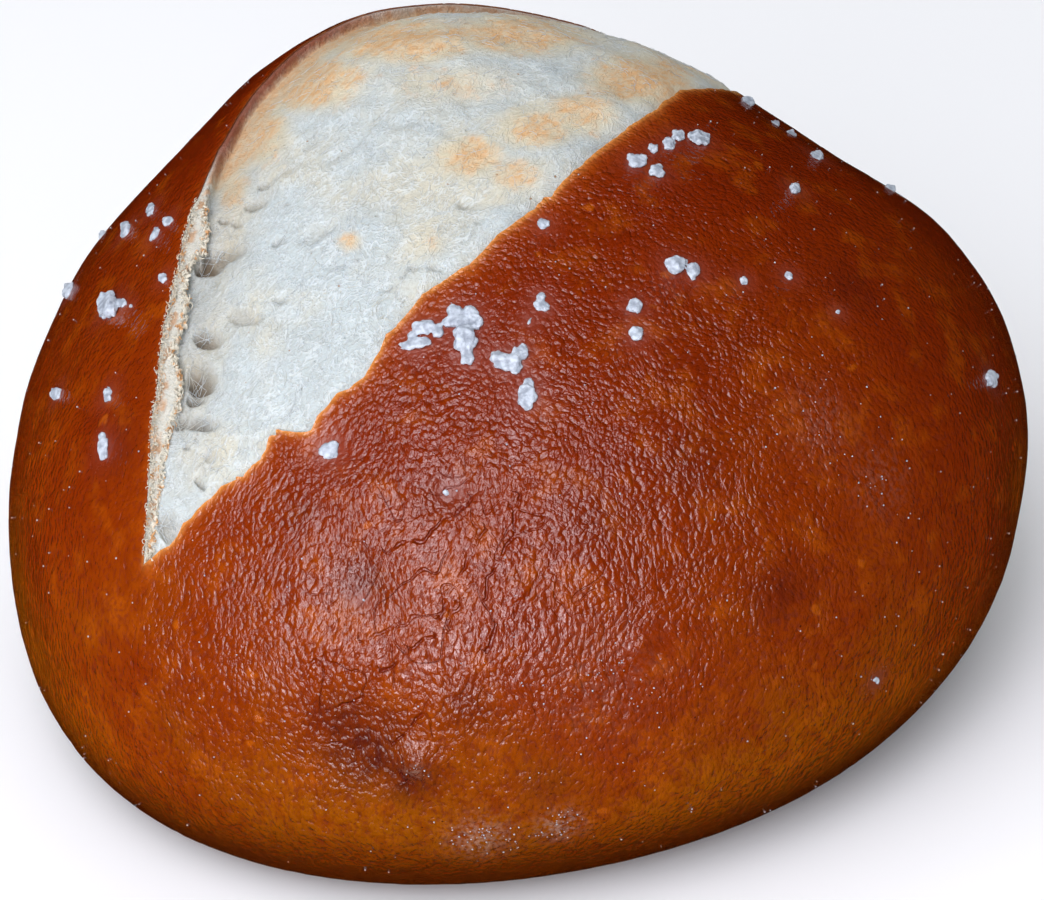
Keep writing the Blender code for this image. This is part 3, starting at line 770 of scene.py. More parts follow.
def make_crumb():
    x, y, from_front, from_back = crumb_grid()
    skin_z = np.array([skin_height(*place) for place in zip(x.ravel(), y.ravel())]).reshape(x.shape)
    level, painted_hollow_shade, shelf = crumb_level(x, y, skin_z, from_front, from_back)
    pulled = np.exp(-((from_back / PULL_REACH) ** 2)) * (1.0 - smooth_step(x, *PULL_FADES))
    top = np.stack([x, y, skin_z + level], axis=2)
    rows, columns = x.shape
    number = np.arange(rows * columns).reshape(rows, columns)
    quads = np.stack([number[:-1, :-1], number[1:, :-1], number[1:, 1:], number[:-1, 1:]], axis=2)
    rim = [*number[:, 0], *number[-1, 1:], *number[-2::-1, -1], *number[0, -2:0:-1]]
    foot = [rows * columns + step for step in range(len(rim))]
    points = top.reshape(-1, 3)
    below = points[rim] * (1.0, 1.0, 0.0) + (0.0, 0.0, CRUMB_FLOOR)
    sides = [(foot[step], foot[(step + 1) % len(rim)], rim[(step + 1) % len(rim)], rim[step])
             for step in range(len(rim))]
    mesh = bpy.data.meshes.new("crumb")
    mesh.from_pydata(np.vstack([points, below]), [], [*quads.reshape(-1, 4).tolist(), *sides, foot[::-1]])
    mesh.validate()
    toast = crumb_toast(x, y, skin_z, from_back)
    kept = {"painted_hollow_shade": painted_hollow_shade, "shelf": shelf, "toast": toast, "pulled": pulled, "gap": from_back}
    for name, values in kept.items():
        store(mesh, name, np.concatenate([values.ravel(), np.zeros(len(rim))]))
    return new_piece("crumb", mesh)


crumb = make_crumb()
print("crumb:", triangles(crumb.data), "triangles")

# %% [markdown]
# ## Numbers from nodes
# Node trees are easier to read as sums than as boxes and wires. The small class below wraps a
# node's output and turns +, -, * and / into Math nodes, also with the number on the left. A
# board is one node tree: it adds any node by its type, its settings and what feeds its sockets,
# and gives back one of the node's outputs.

# %% A value that comes out of a node
class Value:
    def __init__(self, board, socket):
        self.board, self.socket = board, socket

    def __add__(self, other):
        return self.board.math("ADD", self, other)

    def __sub__(self, other):
        return self.board.math("SUBTRACT", self, other)

    def __rsub__(self, other):
        return self.board.math("SUBTRACT", other, self)

    def __mul__(self, other):
        return self.board.math("MULTIPLY", self, other)

    def __truediv__(self, other):
        return self.board.math("DIVIDE", self, other)

    def __rtruediv__(self, other):
        return self.board.math("DIVIDE", other, self)

    __radd__, __rmul__ = __add__, __mul__


# %% A board that nodes are put on
def named(sockets, name):
    """A socket by its place, its identifier or its name."""
    if isinstance(name, int):
        return sockets[name]
    return next(socket for socket in sockets if name in (socket.identifier, socket.name))


class Board:
    def __init__(self, tree):
        self.tree = tree

    def node(self, kind, settings=None, inputs=None, output=0):
        made = self.tree.nodes.new(kind)
        for name, value in (settings or {}).items():
            setattr(made, name, value)
        for name, value in (inputs or {}).items():
            socket = named(made.inputs, name)
            if isinstance(value, Value):
                self.tree.links.new(value.socket, socket)
            else:
                socket.default_value = value
        return Value(self, named(made.outputs, output)) if made.outputs else made

    def math(self, operation, first, second=0.0):
        return self.node("ShaderNodeMath", {"operation": operation}, {0: first, 1: second})

    def vector(self, operation, first, second):
        return self.node("ShaderNodeVectorMath", {"operation": operation}, {0: first, 1: second})

    def scaled(self, vector, factor):
        return self.node("ShaderNodeVectorMath", {"operation": "SCALE"}, {0: vector, "Scale": factor})

    def noise(self, place, size, detail=2.0, roughness=0.5, output="Fac"):
        feed = {"Vector": place, "Scale": 1.0 / size, "Detail": detail, "Roughness": roughness}
        return self.node("ShaderNodeTexNoise", None, feed, output)

    def cells(self, place, size, output="Distance", feature="F1"):
        feed = {"Vector": place, "Scale": 1.0 / size}
        return self.node("ShaderNodeTexVoronoi", {"feature": feature}, feed, output)

    def step(self, value, low, high):
        """0 up to low, 1 from high on, smooth between them."""
        feed = {"Value": value, "From Min": low, "From Max": high}
        return self.node("ShaderNodeMapRange", {"interpolation_type": "SMOOTHSTEP"}, feed, "Result")

    def mix(self, share, first, second, blend="MIX"):
        settings = {"data_type": "RGBA", "blend_type": blend, "clamp_factor": True}
        feed = {"Factor_Float": share, "A_Color": first, "B_Color": second}
        return self.node("ShaderNodeMix", settings, feed, "Result_Color")

    def warp(self, place, size, reach, detail=2.0):
        """A place pushed about by noise, so that a pattern on it doesn't run straight."""
        push = self.noise(place, size, detail, output="Color")
        push = self.vector("SUBTRACT", push, (0.5, 0.5, 0.5))
        return self.vector("ADD", place, self.scaled(push, 2.0 * reach))

    def axis(self, place, name):
        """A place's X, Y or Z."""
        return self.node("ShaderNodeSeparateXYZ", None, {0: place}, name)


# %% Colours and finishes
def srgb(red, green, blue):
    """A colour as seen on a screen, 0 to 255, in the linear numbers that shaders use."""
    linear = [(part / 255.0 / 12.92) if part <= 10 else ((part / 255.0 + 0.055) / 1.055) ** 2.4
              for part in (red, green, blue)]
    return (*linear, 1.0)


def new_finish(name):
    """An empty material, its board, and the place on the roll in mm."""
    finish = bpy.data.materials.new(name)
    finish.use_nodes = True
    finish.node_tree.nodes.clear()
    board = Board(finish.node_tree)
    place = board.node("ShaderNodeTexCoord", output="Object")
    return finish, board, board.scaled(place, 1.0 / MM)


def attribute(board, name):
    return board.node("ShaderNodeAttribute", {"attribute_name": name}, output="Fac")


def close_finish(board, inputs):
    shader = board.node("ShaderNodeBsdfPrincipled", None, inputs)
    board.node("ShaderNodeOutputMaterial", None, {"Surface": shader})


def bumped(board, height):
    """A normal bent by a height in mm."""
    return board.node("ShaderNodeBump", None, {"Height": height, "Distance": MM}, "Normal")


print("white in linear numbers", srgb(255, 255, 255))

# %% Trees that make geometry
def new_tree(name, sockets):
    """A Geometry Nodes tree, its board and its inputs by name. A socket is (name, type, value)."""
    tree = bpy.data.node_groups.new(name, "GeometryNodeTree")
    tree.interface.new_socket("Geometry", in_out="OUTPUT", socket_type="NodeSocketGeometry")
    tree.interface.new_socket("Geometry", in_out="INPUT", socket_type="NodeSocketGeometry")
    for label, kind, value in sockets:
        socket = tree.interface.new_socket(label, in_out="INPUT", socket_type=kind)
        if value is not None:
            socket.default_value = value
    board = Board(tree)
    start = tree.nodes.new("NodeGroupInput")
    return tree, board, {socket.name: Value(board, socket) for socket in start.outputs if socket.name}


def close_tree(board, geometry, finish, chosen=None):
    """Ends a tree as the export needs it: real meshes, with a material and one for chosen faces."""
    real = board.node("GeometryNodeRealizeInstances", None, {"Geometry": geometry})
    dressed = board.node("GeometryNodeSetMaterial", None, {"Geometry": real, "Material": finish})
    if chosen:
        feed = {"Geometry": dressed, "Selection": chosen[0], "Material": chosen[1]}
        dressed = board.node("GeometryNodeSetMaterial", None, feed)
    end = board.tree.nodes.new("NodeGroupOutput")
    board.tree.links.new(dressed.socket, end.inputs[0])


def stored(board, name):
    """One of the piece's own marks, as a tree that makes geometry reads it."""
    settings = {"data_type": "FLOAT"}
    return board.node("GeometryNodeInputNamedAttribute", settings, {"Name": name}, "Attribute")


def shifted(board, geometry, offset):
    feed = {"Geometry": geometry, "Offset": offset}
    return board.node("GeometryNodeSetPosition", None, feed)


def grow(piece, tree, sizes):
    """Runs a tree on a piece with these inputs and keeps the plain mesh that it makes."""
    step = piece.modifiers.new(tree.name, "NODES")
    step.node_group = tree
    for item in tree.interface.items_tree:
        if item.in_out == "INPUT" and item.name in sizes:
            step[item.identifier] = sizes[item.name]
    piece.data = baked_mesh(piece)
    piece.modifiers.clear()
    print(piece.name, "has", triangles(piece.data), "triangles")


FLOAT, WHOLE, FINISH = "NodeSocketFloat", "NodeSocketInt", "NodeSocketMaterial"

# %% [markdown]
# ## The finish of the crust
# Lye and heat make the colour: amber where the dough touched the tray and stayed cooler, chestnut on the
# sides and mahogany on top. Small ridges of dried skin catch the light and the furrows between them are
# darker: the darker red put into the low places of the grain, folds, furrows and creases is partly the
# skin's own colour and partly painted shade. Painted shade also darkens the foot and the side that the light
# reaches less. The whole is glossy as if varnished. So the shader has a brown body colour made of layers of
# noise, a low roughness for the gloss, and a fine bump for the grain, folds and creases that are smaller
# than the mesh can hold. The gloss isn't a coat, because a coat would lie smooth over the grain that has to
# break it up. A bump works its height out several times at each place, so noise that only pushes another
# pattern about has no finer layers: that takes a quarter off the render's time.

# %% Crust finish
AMBER, CHESTNUT, MAHOGANY = srgb(138, 71, 1), srgb(127, 45, 1), srgb(114, 31, 1)
VALLEY_SHADE_RED, ORANGE_BLOT, WRINKLED = srgb(104, 28, 1), srgb(172, 82, 6), srgb(66, 12, 8)
LIP_GOLD, LIP_ORANGE, SALTED_BROWN = srgb(222, 150, 76), srgb(172, 74, 16), srgb(126, 46, 24)
# both are painted shade: a darker red along the creases, partly their own colour, and a brown for the foot
# and for the side that the light reaches less
CREASE_SHADE_RED, SHADE_BROWN = srgb(100, 20, 1), srgb(72, 22, 1)
DUST_BLOOM_AND_SHEEN, SOLE_BROWN, BURNT_SPECK = srgb(196, 176, 160), srgb(126, 72, 30), srgb(45, 14, 6)
RISE_STRETCH = 0.65
GRAIN_SIZE, GRAIN_DEPTH = 0.40, 0.16
PIMPLE_SIZE, PIMPLE_DEPTH = 0.46, 0.14
FOLD_SIZE, FOLD_DEPTH = 1.2, 0.16
PUCKER_SIZE, PUCKER_DEPTH = 0.9, 0.22
WRINKLE_SIZE, GROOVE_DEPTH = 3.0, 0.20
BAKE_HEIGHT, BAKE_PATCH, BAKE_VARIES = 56.0, 19.0, 0.9
BLISTER_CELL, SPECK_CELL = 5.0, 1.7
# the second is the way to the side that the light reaches less, where the crust gets painted shade and a
# smoother relief
FAR_SIDE, SHADED_SIDE = (1.0, 4.0), (0.62, -0.79, 0.0)
SIDE_SHADE_FROM, SMOOTHER_FROM = (5.0, 38.0), (22.0, 42.0)
FOOT_SHADE_BELOW, SOLE_BELOW = (14.0, 4.0), (1.3, 0.3)
GLOSS, GLOSS_ROUGHNESS = 1.66, 0.11


def far_side(board, place):
    """0 on the side of the front lip, 1 on the side of the back lip."""
    return board.step(board.axis(place, "Y"), *FAR_SIDE)


def crust_lines(board, place, wrinkled):
    """1 along the creases that the photo shows, less along finer ones where the skin wrinkled."""
    creased = attribute(board, "crease") + 0.55 * (board.noise(place, 0.9, 1.0) - 0.5)
    line = board.step(board.math("ABSOLUTE", creased), 0.22, 0.03) * attribute(board, "creased")
    line = line * (0.25 + 0.75 * board.step(board.noise(place, 1.8, 0.0), 0.42, 0.56))
    drawn_up = board.vector("MULTIPLY", board.warp(place, 4.0, 1.4, 0.0), (1.0, 1.0, 0.45))
    wander = board.noise(drawn_up, WRINKLE_SIZE, 1.0)
    fine_line = board.step(board.math("ABSOLUTE", wander - 0.5), 0.018, 0.004) * wrinkled
    fine_line = 0.75 * fine_line * board.step(board.noise(place, 4.0, 0.0), 0.40, 0.55)
    return board.math("MAXIMUM", line, fine_line)


def spotted(board, place, colour):
    """The colour with light blisters and burnt specks on it."""
    lit_cell = board.cells(place, BLISTER_CELL, "Color")
    blister = board.step(board.cells(board.warp(place, 1.2, 0.5, 0.0), BLISTER_CELL), 0.13, 0.06)
    colour = board.mix(0.6 * blister * board.step(lit_cell, 0.45, 0.6), colour, ORANGE_BLOT)
    speck = board.step(board.cells(place, SPECK_CELL), 0.075, 0.045)
    return board.mix(0.8 * speck * board.step(board.noise(place, 8.0), 0.5, 0.6), colour, BURNT_SPECK)


def baked_colour(board, place, folds, valley):
    """The layers of brown that the oven gave the skin, and a darker red in the low places of the grain,
    folds and furrows that is partly their own colour and partly painted shade.
    """
    bake = board.axis(place, "Z") / BAKE_HEIGHT
    bake = bake + BAKE_VARIES * (board.noise(place, BAKE_PATCH, 2.0) - 0.5)
    colour = board.mix(board.step(bake, 0.10, 0.55), AMBER, CHESTNUT)
    colour = board.mix(board.step(bake, 0.45, 0.95), colour, MAHOGANY)
    colour = board.mix(0.35 * board.step(board.noise(place, 3.4, 3.0), 0.5, 0.72), colour, ORANGE_BLOT)
    # partly painted shade, partly the skin's own darker red: the low places of the folds, the grain's
    # valleys and the furrows are darker
    colour = board.mix(0.30 * board.step(folds, 0.52, 0.38), colour, VALLEY_SHADE_RED)
    colour = board.mix(0.45 * valley, colour, VALLEY_SHADE_RED)
    return board.mix(0.5 * attribute(board, "furrow"), colour, VALLEY_SHADE_RED)


def make_crust_finish():
    finish, board, place = new_finish("baked_crust")
    height = board.axis(place, "Z")
    upright = board.vector("MULTIPLY", board.warp(place, 5.0, 0.8, 0.0), (1.0, 1.0, RISE_STRETCH))
    names = ("calm", "dark", "dust", "wrinkled", "rim", "edge")
    calm, dark, dust, wrinkled, rim, edge = (attribute(board, name) for name in names)
    behind = far_side(board, place)
    ruffled = board.warp(upright, 0.55, 0.12, 0.0)
    grain = board.noise(ruffled, GRAIN_SIZE, 2.0, 0.6)
    pimple = board.cells(ruffled, PIMPLE_SIZE)
    folds = board.noise(upright, FOLD_SIZE, 1.0)
    valley = board.step(grain - 0.12 * pimple, 0.44, 0.30) * (1.0 - 0.7 * calm)
    line = crust_lines(board, place, wrinkled)
    colour = spotted(board, place, baked_colour(board, place, folds, valley))
    patchy = board.step(board.noise(upright, FOLD_SIZE, 3.0), 0.36, 0.6)
    colour = board.mix(dark * (0.6 + 0.4 * patchy), colour, WRINKLED)
    colour = board.mix(0.6 * calm, colour, SALTED_BROWN)
    # partly painted shade along the creases, partly their own darker red
    colour = board.mix(0.75 * line, colour, CREASE_SHADE_RED)
    # painted shade: the colour darkens towards the foot, where the roll meets the table
    colour = board.mix(0.85 * board.step(height, *FOOT_SHADE_BELOW), colour, SHADE_BROWN)
    # painted shade: the side that the light reaches less is darkened
    toward_shaded_side = board.node("ShaderNodeVectorMath", {"operation": "DOT_PRODUCT"},
                        {0: place, 1: SHADED_SIDE}, "Value")
    colour = board.mix(0.22 * board.step(toward_shaded_side, *SIDE_SHADE_FROM), colour, SHADE_BROWN)
    colour = board.mix(rim * (0.55 - 0.40 * behind), colour, LIP_ORANGE)
    colour = board.mix(edge * (0.8 - 0.75 * behind), colour, LIP_GOLD)
    # a pale tint in the dust marks: partly dried lye and dust, partly a painted sheen
    bloom_and_sheen = dust * dust * board.step(board.noise(place, 0.5, 3.0), 0.40, 0.66)
    colour = board.mix(0.3 * bloom_and_sheen, colour, DUST_BLOOM_AND_SHEEN)
    sole = board.step(height, *SOLE_BELOW)
    colour = board.mix(sole, colour, SOLE_BROWN)
    relief = FOLD_DEPTH * folds + GRAIN_DEPTH * grain - PIMPLE_DEPTH * pimple * pimple
    pucker = board.noise(upright, PUCKER_SIZE, 1.0)
    relief = (1.0 - 0.65 * calm) * relief + PUCKER_DEPTH * dark * pucker
    smoother = board.math("MAXIMUM", board.step(toward_shaded_side, *SMOOTHER_FROM), behind)
    relief = relief * (1.0 - 0.40 * smoother) - GROOVE_DEPTH * line
    close_finish(board, {
        "Base Color": colour,
        "Roughness": GLOSS_ROUGHNESS + 0.12 * valley + 0.28 * calm + 0.20 * bloom_and_sheen + 0.3 * sole,
        "IOR": GLOSS,
        "Normal": bumped(board, relief),
    })
    return finish


crust_finish = make_crust_finish()
print("crust finish has", len(crust_finish.node_tree.nodes), "nodes")

# %% [markdown]
# ## The torn edge
# The wall under a lip is dough that was dry outside and wet inside when it tore: golden, matt
# and rough. It shows as a thin light line along the front lip. Under the back lip it is brown.

# %% Torn edge finish
EDGE_GOLD, EDGE_TAN, EDGE_BROWN = srgb(222, 160, 84), srgb(170, 96, 40), srgb(104, 48, 22)


def make_edge_finish():
    finish, board, place = new_finish("torn_edge")
    grain = board.noise(place, 0.5, 3.0)
    colour = board.mix(board.step(grain, 0.35, 0.65), EDGE_GOLD, EDGE_TAN)
    close_finish(board, {
        "Base Color": board.mix(0.85 * far_side(board, place), colour, EDGE_BROWN),
        "Roughness": 0.7,
        "Normal": bumped(board, 0.08 * grain),
    })
    return finish


edge_finish = make_edge_finish()

# %% [markdown]
# ## Wrinkles in the skin
# The skin dries before the dough stops growing, so it wrinkles: fine furrows that mostly run down the sides
# and none round the salt. Noise has a value at each place, and where it crosses its middle value there is a
# thin line that wanders and branches like a wrinkle. A Geometry Nodes tree pushes those lines in and leaves
# their strength for the shader, which paints the furrows a darker red: partly the skin's own colour, partly
# painted shade.

# %% Skin relief
def make_relief_tree():
    tree, board, size = new_tree("skin relief", (
        ("Furrow size", FLOAT, 2.4), ("Furrow depth", FLOAT, 0.07), ("Pebble size", FLOAT, 1.3),
        ("Pebble depth", FLOAT, 0.05), ("Skin", FINISH, None), ("Edge", FINISH, None),
    ))
    place = board.node("GeometryNodeInputPosition")
    upright = board.vector("MULTIPLY", board.warp(place, 6.0, 1.2), (1.0, 1.0, RISE_STRETCH))
    calm = stored(board, "calm")
    pebbles = board.noise(upright, size["Pebble size"], 1.0)
    away = board.math("ABSOLUTE", board.noise(upright, size["Furrow size"], 2.0) - 0.5)
    furrow = board.step(away, 0.045, 0.0) * (1.0 - calm) * board.step(board.noise(place, 9.0), 0.42, 0.6)
    relief = size["Pebble depth"] * 2.0 * (pebbles - 0.5) * (1.0 - 0.8 * calm)
    relief = relief - size["Furrow depth"] * furrow
    normal = board.node("GeometryNodeInputNormal")
    moved = shifted(board, size["Geometry"], board.scaled(normal, relief))
    kept = board.node("GeometryNodeStoreNamedAttribute", {"data_type": "FLOAT", "domain": "POINT"},
                      {"Geometry": moved, "Name": "furrow", "Value": furrow})
    close_tree(board, kept, size["Skin"], (stored(board, "wall"), size["Edge"]))
    return tree


grow(crust, make_relief_tree(), {"Skin": crust_finish, "Edge": edge_finish})


# %% [markdown]
# ## The finish of the crumb
# Crumb is almost white and quite matt. Light goes a little way into it, so it gets a touch of subsurface. It
# is cool white where it is stretched thin, cream where it is thicker, and toasted to orange-tan where it
# stood highest in the oven. It is painted grey-brown down in the recess and the burst cells, most of all
# beside the shelf, and grey in the dips of its fine fuzz: that is painted shade. A grey veil over it is
# partly its own translucent grey and partly painted shade. The stretching leaves fibres: noise drawn out
# along the way the dough was pulled. Along the far half of the back lip the skin rolled over it, and left a
# brown band.

# %% Crumb finish
COOL_WHITE, CREAM, TOASTED = srgb(181, 190, 191), srgb(199, 190, 165), srgb(206, 160, 110)
HOLLOW_SHADE_GREY, BRAN, SHELF_CREAM = srgb(142, 132, 117), srgb(144, 100, 50), srgb(196, 193, 182)
SHELF_TAN, FIBRE_WHITE, HOLLOW_SHADE_DARK = srgb(182, 138, 98), srgb(208, 215, 217), srgb(112, 98, 80)
VEIL_AND_SHADE_GREY, LIP_BROWN = srgb(164, 170, 168), srgb(118, 48, 14)
FIBRE_SIZE, CURL_SIZE, FUZZ_SIZE = 1.1, 1.6, 0.32
SPECKLE_SIZE, BRAN_CELL, PORE_CELL = 0.55, 1.9, 0.9
FIBRE_DEPTH, FUZZ_DEPTH, SHELF_FUZZ, PORE_DEPTH = 0.05, 0.10, 0.12, 0.10
ROLLED_FROM, ROLLED_THINS, ROLLED_EDGE = (-18.0, -12.0), (2.0, 14.0), (0.85, 0.40)
SOFT_RADIUS = (1.0, 0.8, 0.6)


def threads(board, place, size, stretch, width):
    """Thin curly lines: where noise, drawn out one way, crosses its middle value."""
    curly = board.noise(board.vector("MULTIPLY", place, stretch), size, 3.0, 0.6)
    return board.step(board.math("ABSOLUTE", curly - 0.5), width, 0.0)


def crumb_fibre(board, place):
    """Fibres along the cut, turned across it where the dough was pulled, with curls over them."""
    warped = board.warp(place, 4.0, 1.6, 0.0)
    along = threads(board, warped, FIBRE_SIZE, (0.45, 1.0, 0.8), 0.05)
    across = threads(board, warped, FIBRE_SIZE, (1.0, 0.4, 0.5), 0.05)
    curls = threads(board, board.warp(place, 1.5, 0.8, 0.0), CURL_SIZE, (1.0, 1.0, 1.0), 0.03)
    return board.math("MAXIMUM", along + (across - along) * attribute(board, "pulled"), curls)


def toasted_colour(board, place, colour):
    """The colour with the toasted patches on it: ragged at the rim and speckled inside."""
    toast = attribute(board, "toast")
    blotch = board.noise(board.warp(place, 1.2, 0.5), 2.6, 4.0, 0.65)
    toasted = board.step(toast + 1.7 * (blotch - 0.5), 0.26, 0.85)
    speckle = board.noise(board.vector("MULTIPLY", place, (0.5, 1.0, 0.8)), SPECKLE_SIZE, 3.0, 0.6)
    speckle = board.step(speckle, 0.40, 0.60)
    colour = board.mix(board.step(toast, 0.05, 0.6), colour, CREAM)
    return board.mix(toasted * (0.42 + 0.5 * speckle), colour, TOASTED)


def rolled_band(board, place, gap, fuzz):
    """1 where the skin rolled over the crumb, along the far half of the back lip."""
    along_cut = board.axis(place, "X")
    band = board.step(along_cut, *ROLLED_FROM) * (1.0 - 0.6 * board.step(along_cut, *ROLLED_THINS))
    return band * board.step(gap + 0.3 * (fuzz - 0.5), *ROLLED_EDGE)


def make_crumb_finish():
    finish, board, place = new_finish("open_crumb")
    painted_hollow_shade, shelf, gap = (attribute(board, name) for name in ("painted_hollow_shade", "shelf", "gap"))
    fibre = crumb_fibre(board, place)
    fuzz = board.noise(place, FUZZ_SIZE, 3.0, 0.65)
    colour = board.mix(0.7 * board.step(board.noise(place, 9.0, 3.0), 0.42, 0.66), COOL_WHITE, CREAM)
    # a grey veil at random: partly the crumb's own translucent grey, partly painted shade of a net of
    # shallow hollows
    veil_and_shade = board.step(board.noise(board.warp(place, 3.0, 1.5, 0.0), 2.6, 3.0), 0.42, 0.62)
    colour = board.mix(0.30 * veil_and_shade, colour, VEIL_AND_SHADE_GREY)
    # painted shade in the dips of the fine fuzz
    colour = board.mix(0.24 * board.step(fuzz, 0.56, 0.36), colour, HOLLOW_SHADE_GREY)
    colour = board.mix(0.5 * fibre, colour, FIBRE_WHITE)
    colour = toasted_colour(board, place, colour)
    # painted shade down in the recess and the burst cells
    colour = board.mix(0.35 * board.step(painted_hollow_shade, 0.1, 1.1), colour, HOLLOW_SHADE_GREY)
    colour = board.mix(board.step(painted_hollow_shade + 1.2 * (fuzz - 0.5), 0.9, 3.6), colour, HOLLOW_SHADE_DARK)
    bran = board.step(board.cells(place, BRAN_CELL), 0.075, 0.045)
    bran = bran * board.step(board.noise(place, 5.0), 0.47, 0.55)
    colour = board.mix(0.8 * bran, colour, BRAN)
    strip = board.step(board.math("ABSOLUTE", gap - 0.8), 0.7, 0.2)
    strip = strip * board.step(board.noise(place, 1.9, 3.0), 0.46, 0.56)
    colour = board.mix(shelf, colour, board.mix(0.8 * strip, SHELF_CREAM, SHELF_TAN))
    colour = board.mix(0.92 * rolled_band(board, place, gap, fuzz), colour, LIP_BROWN)
    pores = board.step(board.cells(place, PORE_CELL), 0.16, 0.05)
    pores = pores * board.step(board.noise(place, 3.0), 0.5, 0.6)
    relief = FIBRE_DEPTH * fibre + (FUZZ_DEPTH + SHELF_FUZZ * shelf) * fuzz - PORE_DEPTH * pores
    close_finish(board, {
        "Base Color": colour,
        "Roughness": 0.75,
        "Subsurface Weight": 0.25,
        "Subsurface Radius": SOFT_RADIUS,
        "Subsurface Scale": 1.2 * MM,
        "Normal": bumped(board, relief),
    })
    return finish


crumb_finish = make_crumb_finish()
print("crumb finish has", len(crumb_finish.node_tree.nodes), "nodes")

# %% [markdown]
# ## Cells and fibres of the crumb
# Crumb is a foam. Most of its cells burst into shallow dents 2 to 3 mm wide with a soft rim, and
# the skin of the dough between them dries into ripples. A cell pattern gives each dent its own
# size, so a tree with one of those and a drawn-out noise makes the relief.

# %% Crumb relief
def make_crumb_tree():
    tree, board, size = new_tree("crumb relief", (
        ("Cell size", FLOAT, 2.8), ("Cell depth", FLOAT, 0.12), ("Ripple size", FLOAT, 1.1),
        ("Ripple depth", FLOAT, 0.05), ("Finish", FINISH, None),
    ))
    place = board.warp(board.node("GeometryNodeInputPosition"), 2.2, 0.9)
    dents = board.step(board.cells(place, size["Cell size"]), 0.42, 0.05)
    chosen = board.step(board.noise(place, 5.0), 0.44, 0.60)
    drawn_out = board.vector("MULTIPLY", place, (0.4, 1.0, 0.6))
    ripple = board.noise(drawn_out, size["Ripple size"], 2.0) - 0.5
    relief = size["Ripple depth"] * 2.0 * ripple - size["Cell depth"] * dents * chosen
    relief = relief * (1.0 - 0.7 * stored(board, "shelf"))
    push = board.node("ShaderNodeCombineXYZ", None, {"Z": relief})
    close_tree(board, shifted(board, size["Geometry"], push), size["Finish"])
    return tree


grow(crumb, make_crumb_tree(), {"Finish": crumb_finish})


def tree_of(mesh):
    """A search tree of a mesh, to find where a point lies on it."""
    shape = bmesh.new()
    shape.from_mesh(mesh)
    found = BVHTree.FromBMesh(shape)
    shape.free()
    return found


crumb_tree = tree_of(crumb.data)

# %% [markdown]
# ## Gluten strands
# Pulled dough tears into threads. They span the burst cells beside the back lip and lie over the
# open crumb like cotton. Each thread is an edge path with a wander, and a tree turns the paths
# into thin closed tubes, so a few lines make several hundred of them.

# %% Where the strands run
STRAND_SEED = 5
STRANDS_A_HOLLOW, LYING_STRANDS = 7, 1500
SPANNED_HOLLOWS = 9
LYING_LENGTH, LYING_LIFT = (0.6, 2.4), 0.015
LYING_FROM, LYING_TO, LIP_CLEARANCE = -40.0, 36.0, 1.5
SPAN_OVER_RIM, SPAN_SPREAD = 1.15, 1.3
STRAND_POINTS = 7


def on_crumb(x, y, lift):
    hit = crumb_tree.ray_cast(Vector((x, y, TROUGH_TOP)), DOWN)[0]
    return (hit + Vector((0.0, 0.0, lift))) if hit else None


def bridging_strands(draw):
    """Threads from the rim of a burst cell to its other rim."""
    for pixel_x, pixel_y, half_width, half_height, _, _ in HOLLOWS[:SPANNED_HOLLOWS]:
        wide, high = SPAN_OVER_RIM * half_width, SPAN_OVER_RIM * half_height
        for _ in range(STRANDS_A_HOLLOW):
            angle = draw.uniform(0.0, math.tau)
            turn = math.pi + draw.uniform(-SPAN_SPREAD, SPAN_SPREAD)
            start, end = (
                seen_at(pixel_x + wide * math.cos(around), pixel_y + high * math.sin(around), crumb_tree)[0]
                for around in (angle, angle + turn)
            )
            if start and end:
                yield [start.lerp(end, step / (STRAND_POINTS - 1)) for step in range(STRAND_POINTS)]


def lying_strands(draw):
    """Threads that lie on the crumb, bent from across the cut to along it."""
    for _ in range(LYING_STRANDS):
        x = draw.uniform(LYING_FROM, LYING_TO)
        front, back = lip_lines(x)
        y = draw.uniform(front + LIP_CLEARANCE, back - LIP_CLEARANCE)
        length = draw.uniform(*LYING_LENGTH)
        share = min(1.0, max(0.0, (y - front) / (back - front) + draw.uniform(-0.2, 0.2)))
        angle = math.radians(-100.0 * share + 15.0 + draw.uniform(-50.0, 50.0))
        bend = math.radians(draw.uniform(-150.0, 150.0))
        path = []
        for _ in range(STRAND_POINTS):
            place = on_crumb(x, y, LYING_LIFT)
            inside = lip_lines(x)[0] + 0.6 < y < lip_lines(x)[1] - 0.9
            if not place or not inside:
                break
            path.append(place)
            x += length / STRAND_POINTS * math.cos(angle)
            y += length / STRAND_POINTS * math.sin(angle)
            angle += bend / STRAND_POINTS
        if len(path) > 2:
            yield path


def path_mesh(name, paths):
    """One mesh of loose edges, with each path as a row of them."""
    points, edges = [], []
    for path in paths:
        first = len(points)
        points += path
        edges += [(first + step, first + step + 1) for step in range(len(path) - 1)]
    mesh = bpy.data.meshes.new(name)
    mesh.from_pydata(points, edges, [])
    return new_piece(name, mesh)


strand_draw = random.Random(STRAND_SEED)
strands = path_mesh("gluten_strands", [*bridging_strands(strand_draw), *lying_strands(strand_draw)])
print("strand paths have", len(strands.data.vertices), "points")

# %% Strand finish and tree
STRAND_WHITE, STRAND_CREAM = srgb(198, 204, 206), srgb(192, 188, 172)


def make_strand_finish():
    finish, board, place = new_finish("gluten")
    close_finish(board, {
        "Base Color": board.mix(board.step(board.noise(place, 4.0), 0.45, 0.65), STRAND_WHITE, STRAND_CREAM),
        "Roughness": 0.55,
        "Subsurface Weight": 0.2,
        "Subsurface Radius": SOFT_RADIUS,
        "Subsurface Scale": 0.5 * MM,
    })
    return finish


